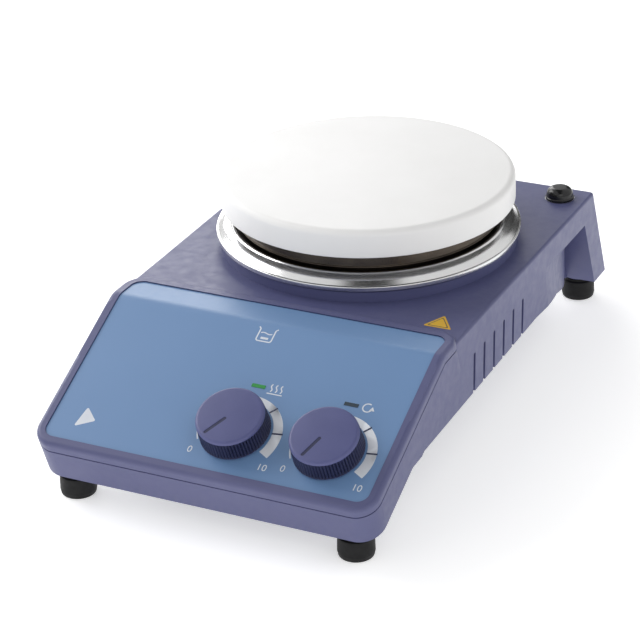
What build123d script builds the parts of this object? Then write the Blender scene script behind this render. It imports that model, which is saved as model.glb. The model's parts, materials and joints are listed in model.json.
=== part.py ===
from build123d import *

import os
from math import cos, radians, sin, tan

# Hot-plate magnetic stirrer. X is to the right seen from the front, Y to the rear, Z up.
# The origin is on the table under the middle of the object. All lengths are in mm.

# Overall housing
WALL = 2.5
DECK_Z = 63.4
RIM_Z = 65.5
FRONT_Y = -142.0
RIM_FRONT_Z = 30.0
RIM_REAR_Y = -46.0
PANEL_TILT = 25.1
BEND_RADIUS = 10.0
RIM_HALF = 80.0
RIM_HALF_LOW = 79.4
RIM_CORNER = 10.0
RIM_CORNER_LOW = 10.5
DECK_HALF = 79.0
DECK_HALF_LOW = 78.2
DECK_REAR_Y = 118.5
LEG_REAR_Y = 141.0
LEG_BOTTOM_Z = 13.5
LEG_FRONT_Y = 123.5
LEG_INNER_X = 56.0
MID_BOTTOM_Z = 28.6
FRONT_WALL_Z = 11.3
FRONT_WALL_Y = -136.0
EDGE_ROUND = 2.0
GROOVE_DROP = 4.4
GROOVE_WIDTH = 0.6
GROOVE_DEPTH = 0.4
DECK_ROUND = 1.2
DECK_CORNER = 2.2
TILT_TAN = tan(radians(PANEL_TILT))
TILT_COS = cos(radians(PANEL_TILT))
WEDGE_LOW_H = (FRONT_WALL_Z - RIM_FRONT_Z) * TILT_COS - (FRONT_WALL_Y - FRONT_Y) * TILT_COS * TILT_TAN
WEDGE_LOW_W = (FRONT_WALL_Y - FRONT_Y) * TILT_COS + (FRONT_WALL_Z - RIM_FRONT_Z) * TILT_COS * TILT_TAN
WEDGE_REAR_W = (RIM_REAR_Y - FRONT_Y) * TILT_COS + (RIM_Z - RIM_FRONT_Z) * TILT_COS * TILT_TAN
KINK_Y = FRONT_WALL_Y + (MID_BOTTOM_Z - FRONT_WALL_Z) / TILT_TAN
RAKE = (LEG_REAR_Y - DECK_REAR_Y) / (DECK_Z - LEG_BOTTOM_Z)

# Side scoops ahead of the rear legs, and the rear recess between the legs
SCOOP_TOP_Z = 51.0
SCOOP_BOTTOM_Z = 31.0
SCOOP_FRONT_Y = 44.0
SCOOP_MID = (75.0, 84.0)
SCOOP_END = (64.0, 119.0)
REAR_PANEL_Y = 121.5
REAR_RECESS_TOP = 59.0

# Vents
VENT_COUNT = 6
VENT_PITCH = 11.35
VENT_CENTRE_Y = -2.0
VENT_WIDTH = 2.2
VENT_TOP_Z = 49.0

# Control panel
OVERLAY_MARGIN = 4.4
OVERLAY_CORNER = 5.0
OVERLAY_RECESS = 1.0
OVERLAY_THICK = 0.45
OVERLAY_TOP = OVERLAY_THICK - OVERLAY_RECESS
OVERLAY_GAP = 0.15
KNOB_W = 26.1
KNOB_U = {"heat": 7.4, "stir": 50.5}
POINTER_ANGLE = 238.0
LAMP_W = 50.3
LAMP_SHIFT = 0.2
LAMP_SIZE = (6.4, 1.8)
KNOB_RADIUS = 15.4
KNOB_TOP_RADIUS = 14.9
KNOB_HEIGHT = 10.6
KNOB_GAP = 0.5
SHAFT_RADIUS = 3.0
KNOB_WALL = 2.9
KNOB_BOSS_RADIUS = 5.0
KNOB_EDGE = 1.2
KNOB_TOP_THICK = 2.5
BUSHING_RADIUS = 4.0
SHAFT_CLEARANCE = 0.06

# Boards: the control board hangs under the panel, the mains board stands on the bottom cover
BOARD_THICK = 1.6
BOARD_H = -11.8
BOARD_SIZE = (116.0, 50.0)
BOARD_CENTRE = (0.5, 31.0)
BOARD_STANDOFFS = [(-40.0, 12.0), (29.0, 12.0), (-40.0, 46.0), (29.0, 46.0)]
PEG_RADIUS = 1.2
PEG_HOLE = 1.25
POWER_BOARD = (-68.0, -26.0, -44.0, 62.0)
POWER_BOARD_Z = 36.0
POWER_POSTS = [(-64.0, -38.0), (-30.0, -38.0), (-64.0, 58.0), (-30.0, 58.0)]
BOARD_TOP = POWER_BOARD_Z + BOARD_THICK

# Work plate and the parts under it
PLATE_Y = 33.0
PLATE_RADIUS = 67.5
PLATE_TOP_Z = 97.0
PLATE_BOTTOM_Z = 84.0
PLATE_TOP_THICK = 6.0
PLATE_SKIRT = 3.0
PLATE_EDGE = 3.0
COLLAR_RADIUS = 68.4
COLLAR_TOP_Z = 68.2
COLLAR_BORE = 57.0
RING_RADIUS = 70.0
RING_RIM_Z = 71.4
RING_TOP_Z = 75.1
RING_INNER = 61.6
RING_SHEET = 0.8
SHIELD_RADIUS = 60.0
SHIELD_TOP_Z = 82.4
SHEET = 0.8
SPACER_RADIUS = 50.0
SPACER_ANGLES = (45, 135, 225, 315)
SPACER_SCREW_HOLE = 1.7
HEATER_RADIUS = 38.0
HEATER_TUBE = 3.2
HEATER_Z = 87.6
HEATER_ENDS = (15, 345)
HEATER_HOLE = 2.6
INSULATION_THICK = 1.6
INSULATION_RADIUS = 58.0
SENSOR = (-22.3, PLATE_Y + 22.3)
SENSOR_HOLE = 2.4

# Stirring motor
ROTOR_RADIUS = 14.0
AIR_GAP = 0.6
STACK_LOW = 43.0
STACK_HIGH = 57.0
MOTOR_POST_Y = 19.0
MOTOR_SCREW_HOLE = 2.1
BUSH_RADIUS = 5.0
STRAP_LOW = (38.0, 40.5)
STRAP_HIGH = (59.5, 62.0)
MAGNET_X = 20.5

# Feet, screws and socket
FOOT_X = 66.0
FOOT_FRONT_Y = -127.3
FOOT_REAR_Y = 134.0
FOOT_RADIUS = 8.0
FOOT_HEIGHT = 11.0
SOCKET_X = 66.0
SOCKET_Y = 106.5
SOCKET_BOTTOM_Z = 53.8
SOCKET_FLOOR = 1.6
SOCKET_RADIUS = 7.0
SOCKET_BOSS = 9.5
M10_MINOR = 8.5
SOCKET_COLLAR = 5.6
SOCKET_COLLAR_TOP = 2.5
CAP_RADIUS = 6.8
CAP_HEIGHT = 5.6
CAP_HOLLOW = 5.9
CAP_HOLLOW_TOP = 3.0
FOOT_BOSS = 6.5
FOOT_HOLE = 2.05

# Bottom cover
COVER_THICK = 1.2
COVER_Z = 31.8
COVER_GAP = 0.35
COVER_SCREWS = [(-68.5, -84.0), (68.5, -84.0), (-54.0, 104.0), (54.0, 104.0)]
COVER_BOSS = 4.0
COVER_SLOTS = 8
COVER_SLOT_PITCH = 9.0

# Rear panel: inlet, rocker switch and fuse, side by side
INLET_X = -22.0
INLET_Z = 45.0
INLET_SCREW_X = 20.0
SWITCH_X = 20.0
SWITCH_HALF = (6.4, 9.5)
ROCKER_TILT = 8.0
ROCKER_PIVOT_Y = REAR_PANEL_Y - 1.5
ROCKER_PIN = 1.2
FUSE_X = 42.0
FUSE_BARREL = 6.0

PANEL = Plane(
    origin=(0, FRONT_Y, RIM_FRONT_Z),
    x_dir=(1, 0, 0),
    z_dir=(0, -sin(radians(PANEL_TILT)), cos(radians(PANEL_TILT))),
)


def box(x0, x1, y0, y1, z0, z1):
    """Box between two corners."""
    return Pos((x0 + x1) / 2, (y0 + y1) / 2, (z0 + z1) / 2) * Box(x1 - x0, y1 - y0, z1 - z0)


def rod(x, y, z0, z1, radius):
    """Upright cylinder."""
    return Pos(x, y, (z0 + z1) / 2) * Cylinder(radius, z1 - z0)


def rod_y(x, z, y0, y1, radius):
    """Cylinder along Y."""
    return Pos(x, (y0 + y1) / 2, z) * Rot(90, 0, 0) * Cylinder(radius, y1 - y0)


def rod_x(z, y, x0, x1, radius):
    """Cylinder along X."""
    return Pos((x0 + x1) / 2, y, z) * Rot(0, 90, 0) * Cylinder(radius, x1 - x0)


def on_panel(u, w, h, shape):
    """Place a shape on the tilted panel: u across, w up the slope, h out of the surface."""
    return PANEL.location * Pos(u, w, h) * shape


def side_prism(points, half_width, centre_x=0.0):
    """Prism across the object from an outline of (y, z) points."""
    outline = Plane.YZ * make_face(Polyline(*points, close=True))
    return Pos(centre_x, 0, 0) * extrude(outline, amount=half_width, both=True)


def plan_loft(low, high):
    """Straight loft between two rounded rectangles, each (z, half_x, y0, y1, corner radius)."""
    sections = []
    for z, half_x, y0, y1, radius in (low, high):
        outline = RectangleRounded(2 * half_x, y1 - y0, radius)
        sections.append(Pos(0, (y0 + y1) / 2, z) * outline)
    return loft(sections, ruled=True)


def revolved(points, x=0.0, y=0.0):
    """Solid of revolution about an upright axis, from (radius, z) points."""
    outline = Plane.XZ * make_face(Polyline(*points, close=True))
    return Pos(x, y, 0) * revolve(outline, axis=Axis.Z, revolution_arc=360)


def group(pieces):
    """Separate solids kept together in one node."""
    return Compound(children=[solid for piece in pieces for solid in piece.solids()])


def deck_block(inset, top_z):
    """Main body between the legs' feet and the deck, with drafted sides and a raked rear."""
    low_z = 5.0
    drop = (DECK_Z - low_z) / (DECK_Z - LEG_BOTTOM_Z)
    low_half = DECK_HALF - (DECK_HALF - DECK_HALF_LOW) * drop
    low_rear = DECK_REAR_Y + RAKE * (DECK_Z - low_z)
    front = KINK_Y - 1.0
    block = plan_loft(
        (low_z, low_half - inset, front, low_rear - inset, DECK_CORNER + 1),
        (DECK_Z, DECK_HALF - inset, front, DECK_REAR_Y - inset, DECK_CORNER),
    )
    if top_z < DECK_Z:
        block -= box(-100, 100, -200, 200, top_z, DECK_Z + 10)
    return block & panel_profile(inset)


def wedge_plan(inset, corner_change=0.0):
    """Side envelope of the control wedge, square to the panel; it narrows towards the table."""
    sections = []
    for h in (2.0, WEDGE_LOW_H - 4.0):
        part = h / WEDGE_LOW_H
        half_x = RIM_HALF + (RIM_HALF_LOW - RIM_HALF) * part - inset
        w0 = WEDGE_LOW_W * part + inset
        radius = RIM_CORNER + (RIM_CORNER_LOW - RIM_CORNER) * part - corner_change
        outline = RectangleRounded(2 * half_x, WEDGE_REAR_W - inset - w0, radius)
        sections.append(on_panel(0, (WEDGE_REAR_W - inset + w0) / 2, h, outline))
    return loft(sections, ruled=True)


def panel_profile(depth):
    """Everything below the panel surface, lowered by depth: slope, bend and level top."""
    slope_drop = depth / TILT_COS
    far_front = FRONT_Y - 40.0
    top = RIM_Z - depth
    bend_y = FRONT_Y + (top - RIM_FRONT_Z + slope_drop) / TILT_TAN
    points = [
        (far_front, RIM_FRONT_Z - slope_drop + TILT_TAN * (far_front - FRONT_Y)),
        (bend_y, top),
        (LEG_REAR_Y + 40.0, top),
        (LEG_REAR_Y + 40.0, -40.0),
        (far_front, -40.0),
    ]
    outline = make_face(Polyline(*points, close=True))
    bend = outline.vertices().sort_by_distance((bend_y, top))[0]
    outline = fillet(bend, BEND_RADIUS - depth)
    return extrude(Plane.YZ * outline, amount=100, both=True)


def wedge_block(inset, depth):
    """Control wedge: its plan envelope under the panel surface."""
    return wedge_plan(inset, inset) & panel_profile(depth)


def below_housing():
    """Space under the housing's lower edge, along the whole object."""
    front_y = FRONT_WALL_Y - 60
    return side_prism(
        [
            (front_y, FRONT_WALL_Z - TILT_TAN * (FRONT_WALL_Y - front_y)),
            (KINK_Y, MID_BOTTOM_Z),
            (SCOOP_FRONT_Y, SCOOP_BOTTOM_Z),
            (SCOOP_FRONT_Y + 32, SCOOP_BOTTOM_Z - 2.4),
            (SCOOP_FRONT_Y + 56, SCOOP_BOTTOM_Z - 10.6),
            (LEG_FRONT_Y, LEG_BOTTOM_Z),
            (200, LEG_BOTTOM_Z),
            (200, -60),
            (front_y, -60),
        ],
        120,
    )


def scoop(side, grow):
    """Hand scoop in one side wall, ahead of the rear leg; grow makes it larger all round."""
    end_x, end_y = SCOOP_END
    mid_x, mid_y = SCOOP_MID
    start = (DECK_HALF - grow, SCOOP_FRONT_Y - grow)
    ramp = ThreePointArc(start, (mid_x - grow, mid_y), (end_x - grow, end_y))
    rest = Polyline((end_x - grow, end_y), (end_x - grow, 150), (100, 150), (100, start[1]), start)
    plan = Pos(0, 0, -20) * make_face([*ramp.edges(), *rest.edges()])
    tall = extrude(plan, amount=SCOOP_TOP_Z + grow + 20)
    leg_y = LEG_FRONT_Y + grow
    bounded = tall & side_prism(
        [
            (0, -30),
            (leg_y + RAKE * (LEG_BOTTOM_Z + 30), -30),
            (leg_y - RAKE * (SCOOP_TOP_Z + 20 - LEG_BOTTOM_Z), SCOOP_TOP_Z + 20),
            (0, SCOOP_TOP_Z + 20),
        ],
        120,
    )
    return bounded if side > 0 else mirror(bounded, about=Plane.YZ)


def leg_shell(side):
    """Floor and front wall that close one rear leg below the bottom cover."""
    wall_top = COVER_Z + 2.5
    floor_z = LEG_BOTTOM_Z + WALL
    front_at_top = LEG_FRONT_Y - RAKE * (wall_top - LEG_BOTTOM_Z)
    front_at_floor = LEG_FRONT_Y - RAKE * WALL
    outline = [
        (LEG_FRONT_Y, LEG_BOTTOM_Z),
        (front_at_top, wall_top),
        (front_at_top + WALL, wall_top),
        (front_at_floor + WALL, floor_z),
        (160, floor_z),
        (160, LEG_BOTTOM_Z),
    ]
    half = (DECK_HALF - LEG_INNER_X) / 2
    return side_prism(outline, half + 2, side * (LEG_INNER_X + half + 2))


def cavity():
    """Hollow of the housing."""
    hollow = deck_block(WALL, DECK_Z - WALL) + wedge_block(WALL, WALL)
    hollow -= box(-LEG_INNER_X - WALL, LEG_INNER_X + WALL, REAR_PANEL_Y - WALL, 200,
                  -50, REAR_RECESS_TOP + WALL)
    for side in (-1, 1):
        hollow -= scoop(side, WALL)
        hollow -= leg_shell(side)
    return hollow


def foot_places():
    """Centres of the four feet, named."""
    return {
        "front_left": (-FOOT_X, FOOT_FRONT_Y),
        "front_right": (FOOT_X, FOOT_FRONT_Y),
        "rear_left": (-FOOT_X, FOOT_REAR_Y),
        "rear_right": (FOOT_X, FOOT_REAR_Y),
    }


def make_top_housing():
    """Cast upper housing: deck, control wedge, collar, rear legs and bosses."""
    deck = deck_block(0, DECK_Z)
    deck_edges = [e for e in deck.edges() if e.center().Z > DECK_Z - 0.1 and e.center().Y > RIM_REAR_Y]
    deck = fillet(deck_edges, DECK_ROUND)
    wedge = wedge_block(0, 0)
    rim_edges = [e for e in wedge.edges() if is_rim_edge(e)]
    wedge = fillet(rim_edges, EDGE_ROUND) - rim_groove()
    body = deck + wedge + rod(0, PLATE_Y, DECK_Z - 1, COLLAR_TOP_Z, COLLAR_RADIUS)
    body -= box(-LEG_INNER_X, LEG_INNER_X, REAR_PANEL_Y, 200, -50, REAR_RECESS_TOP)
    for side in (-1, 1):
        body -= scoop(side, 0)
    body -= below_housing()
    body -= cavity()
    body += housing_bosses()
    body -= overlay_recess() + housing_holes()
    return body


def rim_groove():
    """Fine groove round the wedge, a little below its rim."""
    band = panel_profile(GROOVE_DROP) - panel_profile(GROOVE_DROP + GROOVE_WIDTH)
    return band & (wedge_plan(-1.0) - wedge_plan(GROOVE_DEPTH))


def is_rim_edge(edge):
    """True for an edge of the wedge's upper outline, not the bend across it."""
    middle = edge.position_at(0.5)
    slope_z = RIM_FRONT_Z + TILT_TAN * (middle.Y - FRONT_Y)
    on_top = abs(middle.Z - min(slope_z, RIM_Z)) < 1.5
    across_inside = abs(middle.X) < 1.0 and FRONT_Y + 5 < middle.Y < RIM_REAR_Y - 5
    return on_top and not across_inside


def housing_bosses():
    """Bosses for the feet, the cover screws and the rod socket."""
    bosses = []
    for x, y in foot_places().values():
        top = LEG_BOTTOM_Z + 9.0 if y > 0 else RIM_FRONT_Z + TILT_TAN * (y - FRONT_Y) - 1
        bosses.append(rod(x, y, FOOT_HEIGHT, top, FOOT_BOSS))
    for x, y in COVER_SCREWS:
        top = DECK_Z - 1 if y > 0 else RIM_FRONT_Z + TILT_TAN * (y - FRONT_Y) - 1
        bosses.append(rod(x, y, COVER_Z + COVER_THICK, top, COVER_BOSS))
    bosses.append(rod(SOCKET_X, SOCKET_Y, SOCKET_BOTTOM_Z, DECK_Z - 1, SOCKET_BOSS) & deck_block(1, DECK_Z))
    total = bosses[0]
    for boss in bosses[1:]:
        total += boss
    below_floor = box(-80, 80, -145, 145, FOOT_HEIGHT, LEG_BOTTOM_Z + 1)
    return total & (deck_block(0.5, DECK_Z) + wedge_block(0.5, 0.5) + below_floor)


def overlay_recess():
    """Shallow recess in the panel that the blue overlay lies in."""
    window = wedge_plan(OVERLAY_MARGIN, RIM_CORNER - OVERLAY_CORNER)
    return window - panel_profile(OVERLAY_RECESS)


def housing_holes():
    """Every hole and slot through the housing."""
    cuts = [rod(0, PLATE_Y, DECK_Z - 10, COLLAR_TOP_Z + 5, COLLAR_BORE)]
    first = VENT_CENTRE_Y - VENT_PITCH * (VENT_COUNT - 1) / 2
    for i in range(VENT_COUNT):
        y = first + i * VENT_PITCH
        for side in (-1, 1):
            near, far = sorted((side * 70.0, side * 90.0))
            straight_top = VENT_TOP_Z - VENT_WIDTH / 2
            cuts.append(box(near, far, y - VENT_WIDTH / 2, y + VENT_WIDTH / 2, 20, straight_top))
            end = Rot(0, 90, 0) * Cylinder(VENT_WIDTH / 2, 20)
            cuts.append(Pos(side * 80, y, straight_top) * end)
    for u in KNOB_U.values():
        cuts.append(on_panel(u, KNOB_W, 0, Cylinder(BUSHING_RADIUS + 0.1, 20)))
        cuts.append(on_panel(u + LAMP_SHIFT, LAMP_W, 0, Box(LAMP_SIZE[0] + 0.1, LAMP_SIZE[1] + 0.1, 20)))
    for u, w in BOARD_STANDOFFS:
        cuts.append(on_panel(u, w, -WALL, Cylinder(1.3, 2.0)))
    for x, y in foot_places().values():
        cuts.append(rod(x, y, FOOT_HEIGHT - 1, FOOT_HEIGHT + 12, FOOT_HOLE))
    for x, y in COVER_SCREWS:
        cuts.append(rod(x, y, COVER_Z, COVER_Z + 10, 1.55))
    cuts.append(rod(SOCKET_X, SOCKET_Y, SOCKET_BOTTOM_Z, DECK_Z + 5, SOCKET_RADIUS))
    cuts.append(box(INLET_X - 14.1, INLET_X + 14.1, 110, 130, INLET_Z - 10.3, INLET_Z + 10.3))
    for dx in (-INLET_SCREW_X, INLET_SCREW_X):
        cuts.append(rod_y(INLET_X + dx, INLET_Z, 110, 130, 1.6))
    half_x, half_z = SWITCH_HALF[0] + 0.2, SWITCH_HALF[1] + 0.2
    cuts.append(box(SWITCH_X - half_x, SWITCH_X + half_x, 110, 130, INLET_Z - half_z, INLET_Z + half_z))
    cuts.append(rod_y(FUSE_X, INLET_Z, 110, 130, FUSE_BARREL + 0.1))
    total = cuts[0]
    for cut in cuts[1:]:
        total += cut
    return total


def make_bottom_cover():
    """Bent sheet that closes the underside, with vents and screw holes."""
    gap = WALL + COVER_GAP
    rise = COVER_Z - MID_BOTTOM_Z
    start_y = FRONT_WALL_Y - 10
    end_y = FRONT_WALL_Y + (COVER_Z - FRONT_WALL_Z - rise) / TILT_TAN
    flat = deck_block(gap, DECK_Z) + wedge_plan(gap, gap)
    flat &= box(-90, 90, end_y, 200, COVER_Z, COVER_Z + COVER_THICK)
    for side in (-1, 1):
        flat -= scoop(side, gap)
    flat -= box(-90, 90, REAR_PANEL_Y - gap, 200, 0, 100)
    flat -= box(LEG_INNER_X - 1, 90, 112.0, 200, 0, 100) + box(-90, -LEG_INNER_X + 1, 112.0, 200, 0, 100)
    low_z = FRONT_WALL_Z + rise + TILT_TAN * (start_y - FRONT_WALL_Y)
    tilted = side_prism(
        [
            (start_y, low_z),
            (end_y, COVER_Z),
            (end_y, COVER_Z + COVER_THICK / TILT_COS),
            (start_y, low_z + COVER_THICK / TILT_COS),
        ],
        100,
    )
    cover = flat + (tilted & wedge_plan(gap, gap))
    for x, y in foot_places().values():
        cover -= rod(x, y, -10, 60, 7.0)
    for x, y in COVER_SCREWS:
        cover -= rod(x, y, -10, 60, 1.7)
    for i in range(COVER_SLOTS):
        y = -60.0 + COVER_SLOT_PITCH * i
        for x in (-42.0, 42.0):
            cover -= box(x - 14, x + 14, y - 1.5, y + 1.5, 0, 60)
    return cover


def make_cover_screws():
    """Pan-head screws that hold the bottom cover."""
    screws = []
    for x, y in COVER_SCREWS:
        screws.append(rod(x, y, COVER_Z - 1.8, COVER_Z, 2.8) + rod(x, y, COVER_Z - 0.5, COVER_Z + 8, 1.5))
    return group(screws)


def make_control_overlay():
    """Printed front sheet, bent with the panel."""
    window = wedge_plan(OVERLAY_MARGIN + OVERLAY_GAP, RIM_CORNER - OVERLAY_CORNER + OVERLAY_GAP)
    sheet = window & (panel_profile(OVERLAY_RECESS - OVERLAY_THICK) - panel_profile(OVERLAY_RECESS))
    for u in KNOB_U.values():
        sheet -= on_panel(u, KNOB_W, 0, Cylinder(BUSHING_RADIUS + 0.1, 20))
        sheet -= on_panel(u + LAMP_SHIFT, LAMP_W, 0, Box(LAMP_SIZE[0] + 0.1, LAMP_SIZE[1] + 0.1, 20))
    return sheet


def make_knob(name):
    """Turning knob with a pointer groove; the wall is hollow round the shaft boss."""
    low = OVERLAY_TOP + KNOB_GAP
    high = low + KNOB_HEIGHT
    skirt = loft(
        [Pos(0, 0, low) * Circle(KNOB_RADIUS), Pos(0, 0, high) * Circle(KNOB_TOP_RADIUS)], ruled=True
    )
    skirt = fillet(skirt.faces().sort_by(Axis.Z)[-1].edges(), KNOB_EDGE)
    hollow_height = KNOB_HEIGHT - KNOB_WALL
    skirt -= Pos(0, 0, low + hollow_height / 2) * Cylinder(KNOB_RADIUS - KNOB_WALL, hollow_height)
    boss_height = KNOB_HEIGHT - 6
    skirt += Pos(0, 0, high - 1 - boss_height / 2) * Cylinder(KNOB_BOSS_RADIUS, boss_height)
    shaft_end = high - KNOB_TOP_THICK
    skirt -= Pos(0, 0, (low + shaft_end) / 2) * Cylinder(SHAFT_RADIUS, shaft_end - low)
    groove = Rot(0, 0, POINTER_ANGLE) * Pos(7.2, 0, high) * Box(10.4, 0.9, 0.8)
    return on_panel(KNOB_U[name], KNOB_W, 0, skirt - groove)


def make_knob_shaft(name):
    """Potentiometer spindle pressed into the knob."""
    low = -WALL - 6.0
    high = OVERLAY_TOP + KNOB_GAP + KNOB_HEIGHT - KNOB_TOP_THICK
    return on_panel(KNOB_U[name], KNOB_W, (low + high) / 2, Cylinder(SHAFT_RADIUS, high - low))


def make_potentiometer(name):
    """Rotary potentiometer: can behind the panel and a threaded bushing through it."""
    can = Pos(0, 0, -WALL - 4.2) * Cylinder(8.5, 8.0)
    bushing_top = OVERLAY_TOP + 3.6
    bushing = Pos(0, 0, (bushing_top - WALL - 1) / 2) * Cylinder(BUSHING_RADIUS, bushing_top + WALL + 1)
    bore_low = -WALL - 6.3
    bore = Pos(0, 0, (bushing_top + bore_low) / 2 + 0.5)
    bore = bore * Cylinder(SHAFT_RADIUS + SHAFT_CLEARANCE, bushing_top - bore_low + 1)
    return on_panel(KNOB_U[name], KNOB_W, 0, can + bushing - bore)


def make_pot_nuts():
    """Hexagon nuts that clamp the potentiometers, hidden inside the knobs."""
    nuts = []
    for u in KNOB_U.values():
        nut = extrude(RegularPolygon(6.2, 6), amount=2.0) - Pos(0, 0, 1) * Cylinder(BUSHING_RADIUS, 4)
        nuts.append(on_panel(u, KNOB_W, OVERLAY_TOP, nut))
    return group(nuts)


def make_lamp(name):
    """Light pipe behind a slit in the overlay."""
    height = WALL + 6
    pipe = Box(LAMP_SIZE[0], LAMP_SIZE[1], height)
    return on_panel(KNOB_U[name] + LAMP_SHIFT, LAMP_W, OVERLAY_TOP + 0.15 - height / 2, pipe)


def make_control_board():
    """Circuit board behind the panel."""
    board = on_panel(*BOARD_CENTRE, BOARD_H, Box(*BOARD_SIZE, BOARD_THICK))
    for u in KNOB_U.values():
        board -= on_panel(u, KNOB_W, BOARD_H, Cylinder(3.0, 10))
    for u, w in BOARD_STANDOFFS:
        board -= on_panel(u, w, BOARD_H, Cylinder(PEG_HOLE, 10))
    return board


def make_board_standoffs():
    """Hexagon standoffs between the panel and the control board."""
    top = -WALL
    low = BOARD_H + BOARD_THICK / 2
    posts = []
    for u, w in BOARD_STANDOFFS:
        post = extrude(RegularPolygon(2.6, 6), amount=top - low)
        peg = Pos(0, 0, -BOARD_THICK) * Cylinder(PEG_RADIUS, 3.4)
        posts.append(on_panel(u, w, low, post + peg))
    return group(posts)


def make_power_board():
    """Mains board over the bottom cover."""
    x0, x1, y0, y1 = POWER_BOARD
    board = box(x0, x1, y0, y1, POWER_BOARD_Z, BOARD_TOP)
    for x, y in POWER_POSTS:
        board -= rod(x, y, 0, 60, PEG_HOLE)
    return board


def make_power_board_posts():
    """Posts with pegs that carry the mains board."""
    posts = []
    for x, y in POWER_POSTS:
        post = rod(x, y, COVER_Z + COVER_THICK, POWER_BOARD_Z, 3.0)
        posts.append(post + rod(x, y, POWER_BOARD_Z - 0.5, BOARD_TOP + 1, PEG_RADIUS))
    return group(posts)


def make_relay():
    """Relay on the mains board."""
    shell = box(-62, -43, -20, -4, BOARD_TOP, BOARD_TOP + 15)
    return fillet(shell.edges().filter_by(Axis.Z), 1.0)


def make_capacitor():
    """Suppression capacitor on the mains board."""
    can = box(-62, -36, 6, 17, BOARD_TOP, BOARD_TOP + 17)
    return fillet(can.edges().filter_by(Axis.Z), 1.5)


def make_terminal_block():
    """Screw terminals on the mains board."""
    block = box(-62, -32, 46, 56, BOARD_TOP, BOARD_TOP + 12)
    for i in range(5):
        x = -59 + 6 * i
        block -= rod(x, 51, BOARD_TOP + 8, BOARD_TOP + 20, 1.8)
        block -= box(x - 1.8, x + 1.8, 54, 60, BOARD_TOP + 2, BOARD_TOP + 6)
    return block


def make_triac_heatsink():
    """Finned heat sink of the heater switch."""
    sink = box(-60, -34, 24, 27, BOARD_TOP, BOARD_TOP + 18)
    for i in range(5):
        x = -59.0 + 6.0 * i
        sink += box(x - 0.75, x + 0.75, 27, 38, BOARD_TOP, BOARD_TOP + 18)
    return sink


def make_motor_stator():
    """Stacked laminations of the shaded-pole motor: bore at one end, coil leg at the other."""
    stack = box(-21, 43, PLATE_Y - 24, PLATE_Y + 24, STACK_LOW, STACK_HIGH)
    stack -= box(20, 32, PLATE_Y - 14, PLATE_Y + 14, 0, 90)
    stack -= rod(0, PLATE_Y, 0, 90, ROTOR_RADIUS + AIR_GAP)
    for side in (-1, 1):
        stack -= rod(0, PLATE_Y + side * MOTOR_POST_Y, 0, 90, MOTOR_SCREW_HOLE)
    return stack


def make_motor_coil():
    """Winding round the coil leg."""
    coil = box(22, 53, PLATE_Y - 13, PLATE_Y + 13, 38, 60)
    coil = fillet(coil.edges().filter_by(Axis.Y), 3.0)
    return coil - box(31.8, 43.2, PLATE_Y - 20, PLATE_Y + 20, STACK_LOW - 0.2, STACK_HIGH + 0.2)


def make_motor_brackets():
    """Bearing straps above and below the laminations."""
    straps = []
    for (low, high), pad_low, pad_high in ((STRAP_LOW, 40.0, STACK_LOW), (STRAP_HIGH, STACK_HIGH, 60.0)):
        strap = box(-8, 8, PLATE_Y - 24, PLATE_Y + 24, low, high)
        strap = fillet(strap.edges().filter_by(Axis.Z), 5.0)
        for side in (-1, 1):
            y = PLATE_Y + side * MOTOR_POST_Y
            strap += rod(0, y, pad_low, pad_high, 4.0)
            strap -= rod(0, y, 0, 90, MOTOR_SCREW_HOLE)
        strap -= rod(0, PLATE_Y, 0, 90, BUSH_RADIUS)
        straps.append(strap)
    return group(straps)


def make_motor_bushes():
    """Sintered bearing bushes in the two straps."""
    bushes = []
    for low, high in (STRAP_LOW, STRAP_HIGH):
        bush = rod(0, PLATE_Y, low - 1.5, high + 1.5, BUSH_RADIUS)
        bushes.append(bush - rod(0, PLATE_Y, 0, 90, SHAFT_RADIUS + 0.05))
    return group(bushes)


def make_motor_mounts():
    """Rubber sleeves between the bottom cover and the lower strap."""
    sleeves = []
    for side in (-1, 1):
        y = PLATE_Y + side * MOTOR_POST_Y
        sleeve = rod(0, y, COVER_Z + COVER_THICK, STRAP_LOW[0], 4.5)
        sleeves.append(sleeve - rod(0, y, 0, 90, MOTOR_SCREW_HOLE + 0.1))
    return group(sleeves)


def make_motor_screws():
    """Long screws through the motor and its mounts."""
    screws = []
    for side in (-1, 1):
        y = PLATE_Y + side * MOTOR_POST_Y
        head = STRAP_HIGH[1]
        shank = rod(0, y, COVER_Z + COVER_THICK + 0.3, head + 0.5, 2.0)
        screws.append(shank + rod(0, y, head, head + 2.6, 3.6))
    return group(screws)


def make_motor_shaft():
    """Motor shaft."""
    return rod(0, PLATE_Y, 35.5, 74.0, SHAFT_RADIUS)


def make_motor_rotor():
    """Squirrel-cage rotor on the shaft."""
    cage = rod(0, PLATE_Y, STACK_LOW - 0.5, STACK_HIGH + 0.5, ROTOR_RADIUS)
    return cage - rod(0, PLATE_Y, 0, 90, SHAFT_RADIUS)


def make_magnet_carrier():
    """Bar with a hub that carries the two drive magnets."""
    bar = box(-30, 30, PLATE_Y - 9, PLATE_Y + 9, 69.0, 72.0)
    bar = fillet(bar.edges().filter_by(Axis.Z), 8.5)
    bar += rod(0, PLATE_Y, 66.0, 76.0, 7.0)
    return bar - rod(0, PLATE_Y, 0, 74.0, SHAFT_RADIUS)


def make_drive_magnets():
    """Two drive magnets on the carrier."""
    return group([rod(x, PLATE_Y, 72.0, 80.0, 8.0) for x in (-MAGNET_X, MAGNET_X)])


def spacer_places():
    """Centres of the plate's four spacers."""
    return [
        (SPACER_RADIUS * cos(radians(a)), PLATE_Y + SPACER_RADIUS * sin(radians(a))) for a in SPACER_ANGLES
    ]


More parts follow.
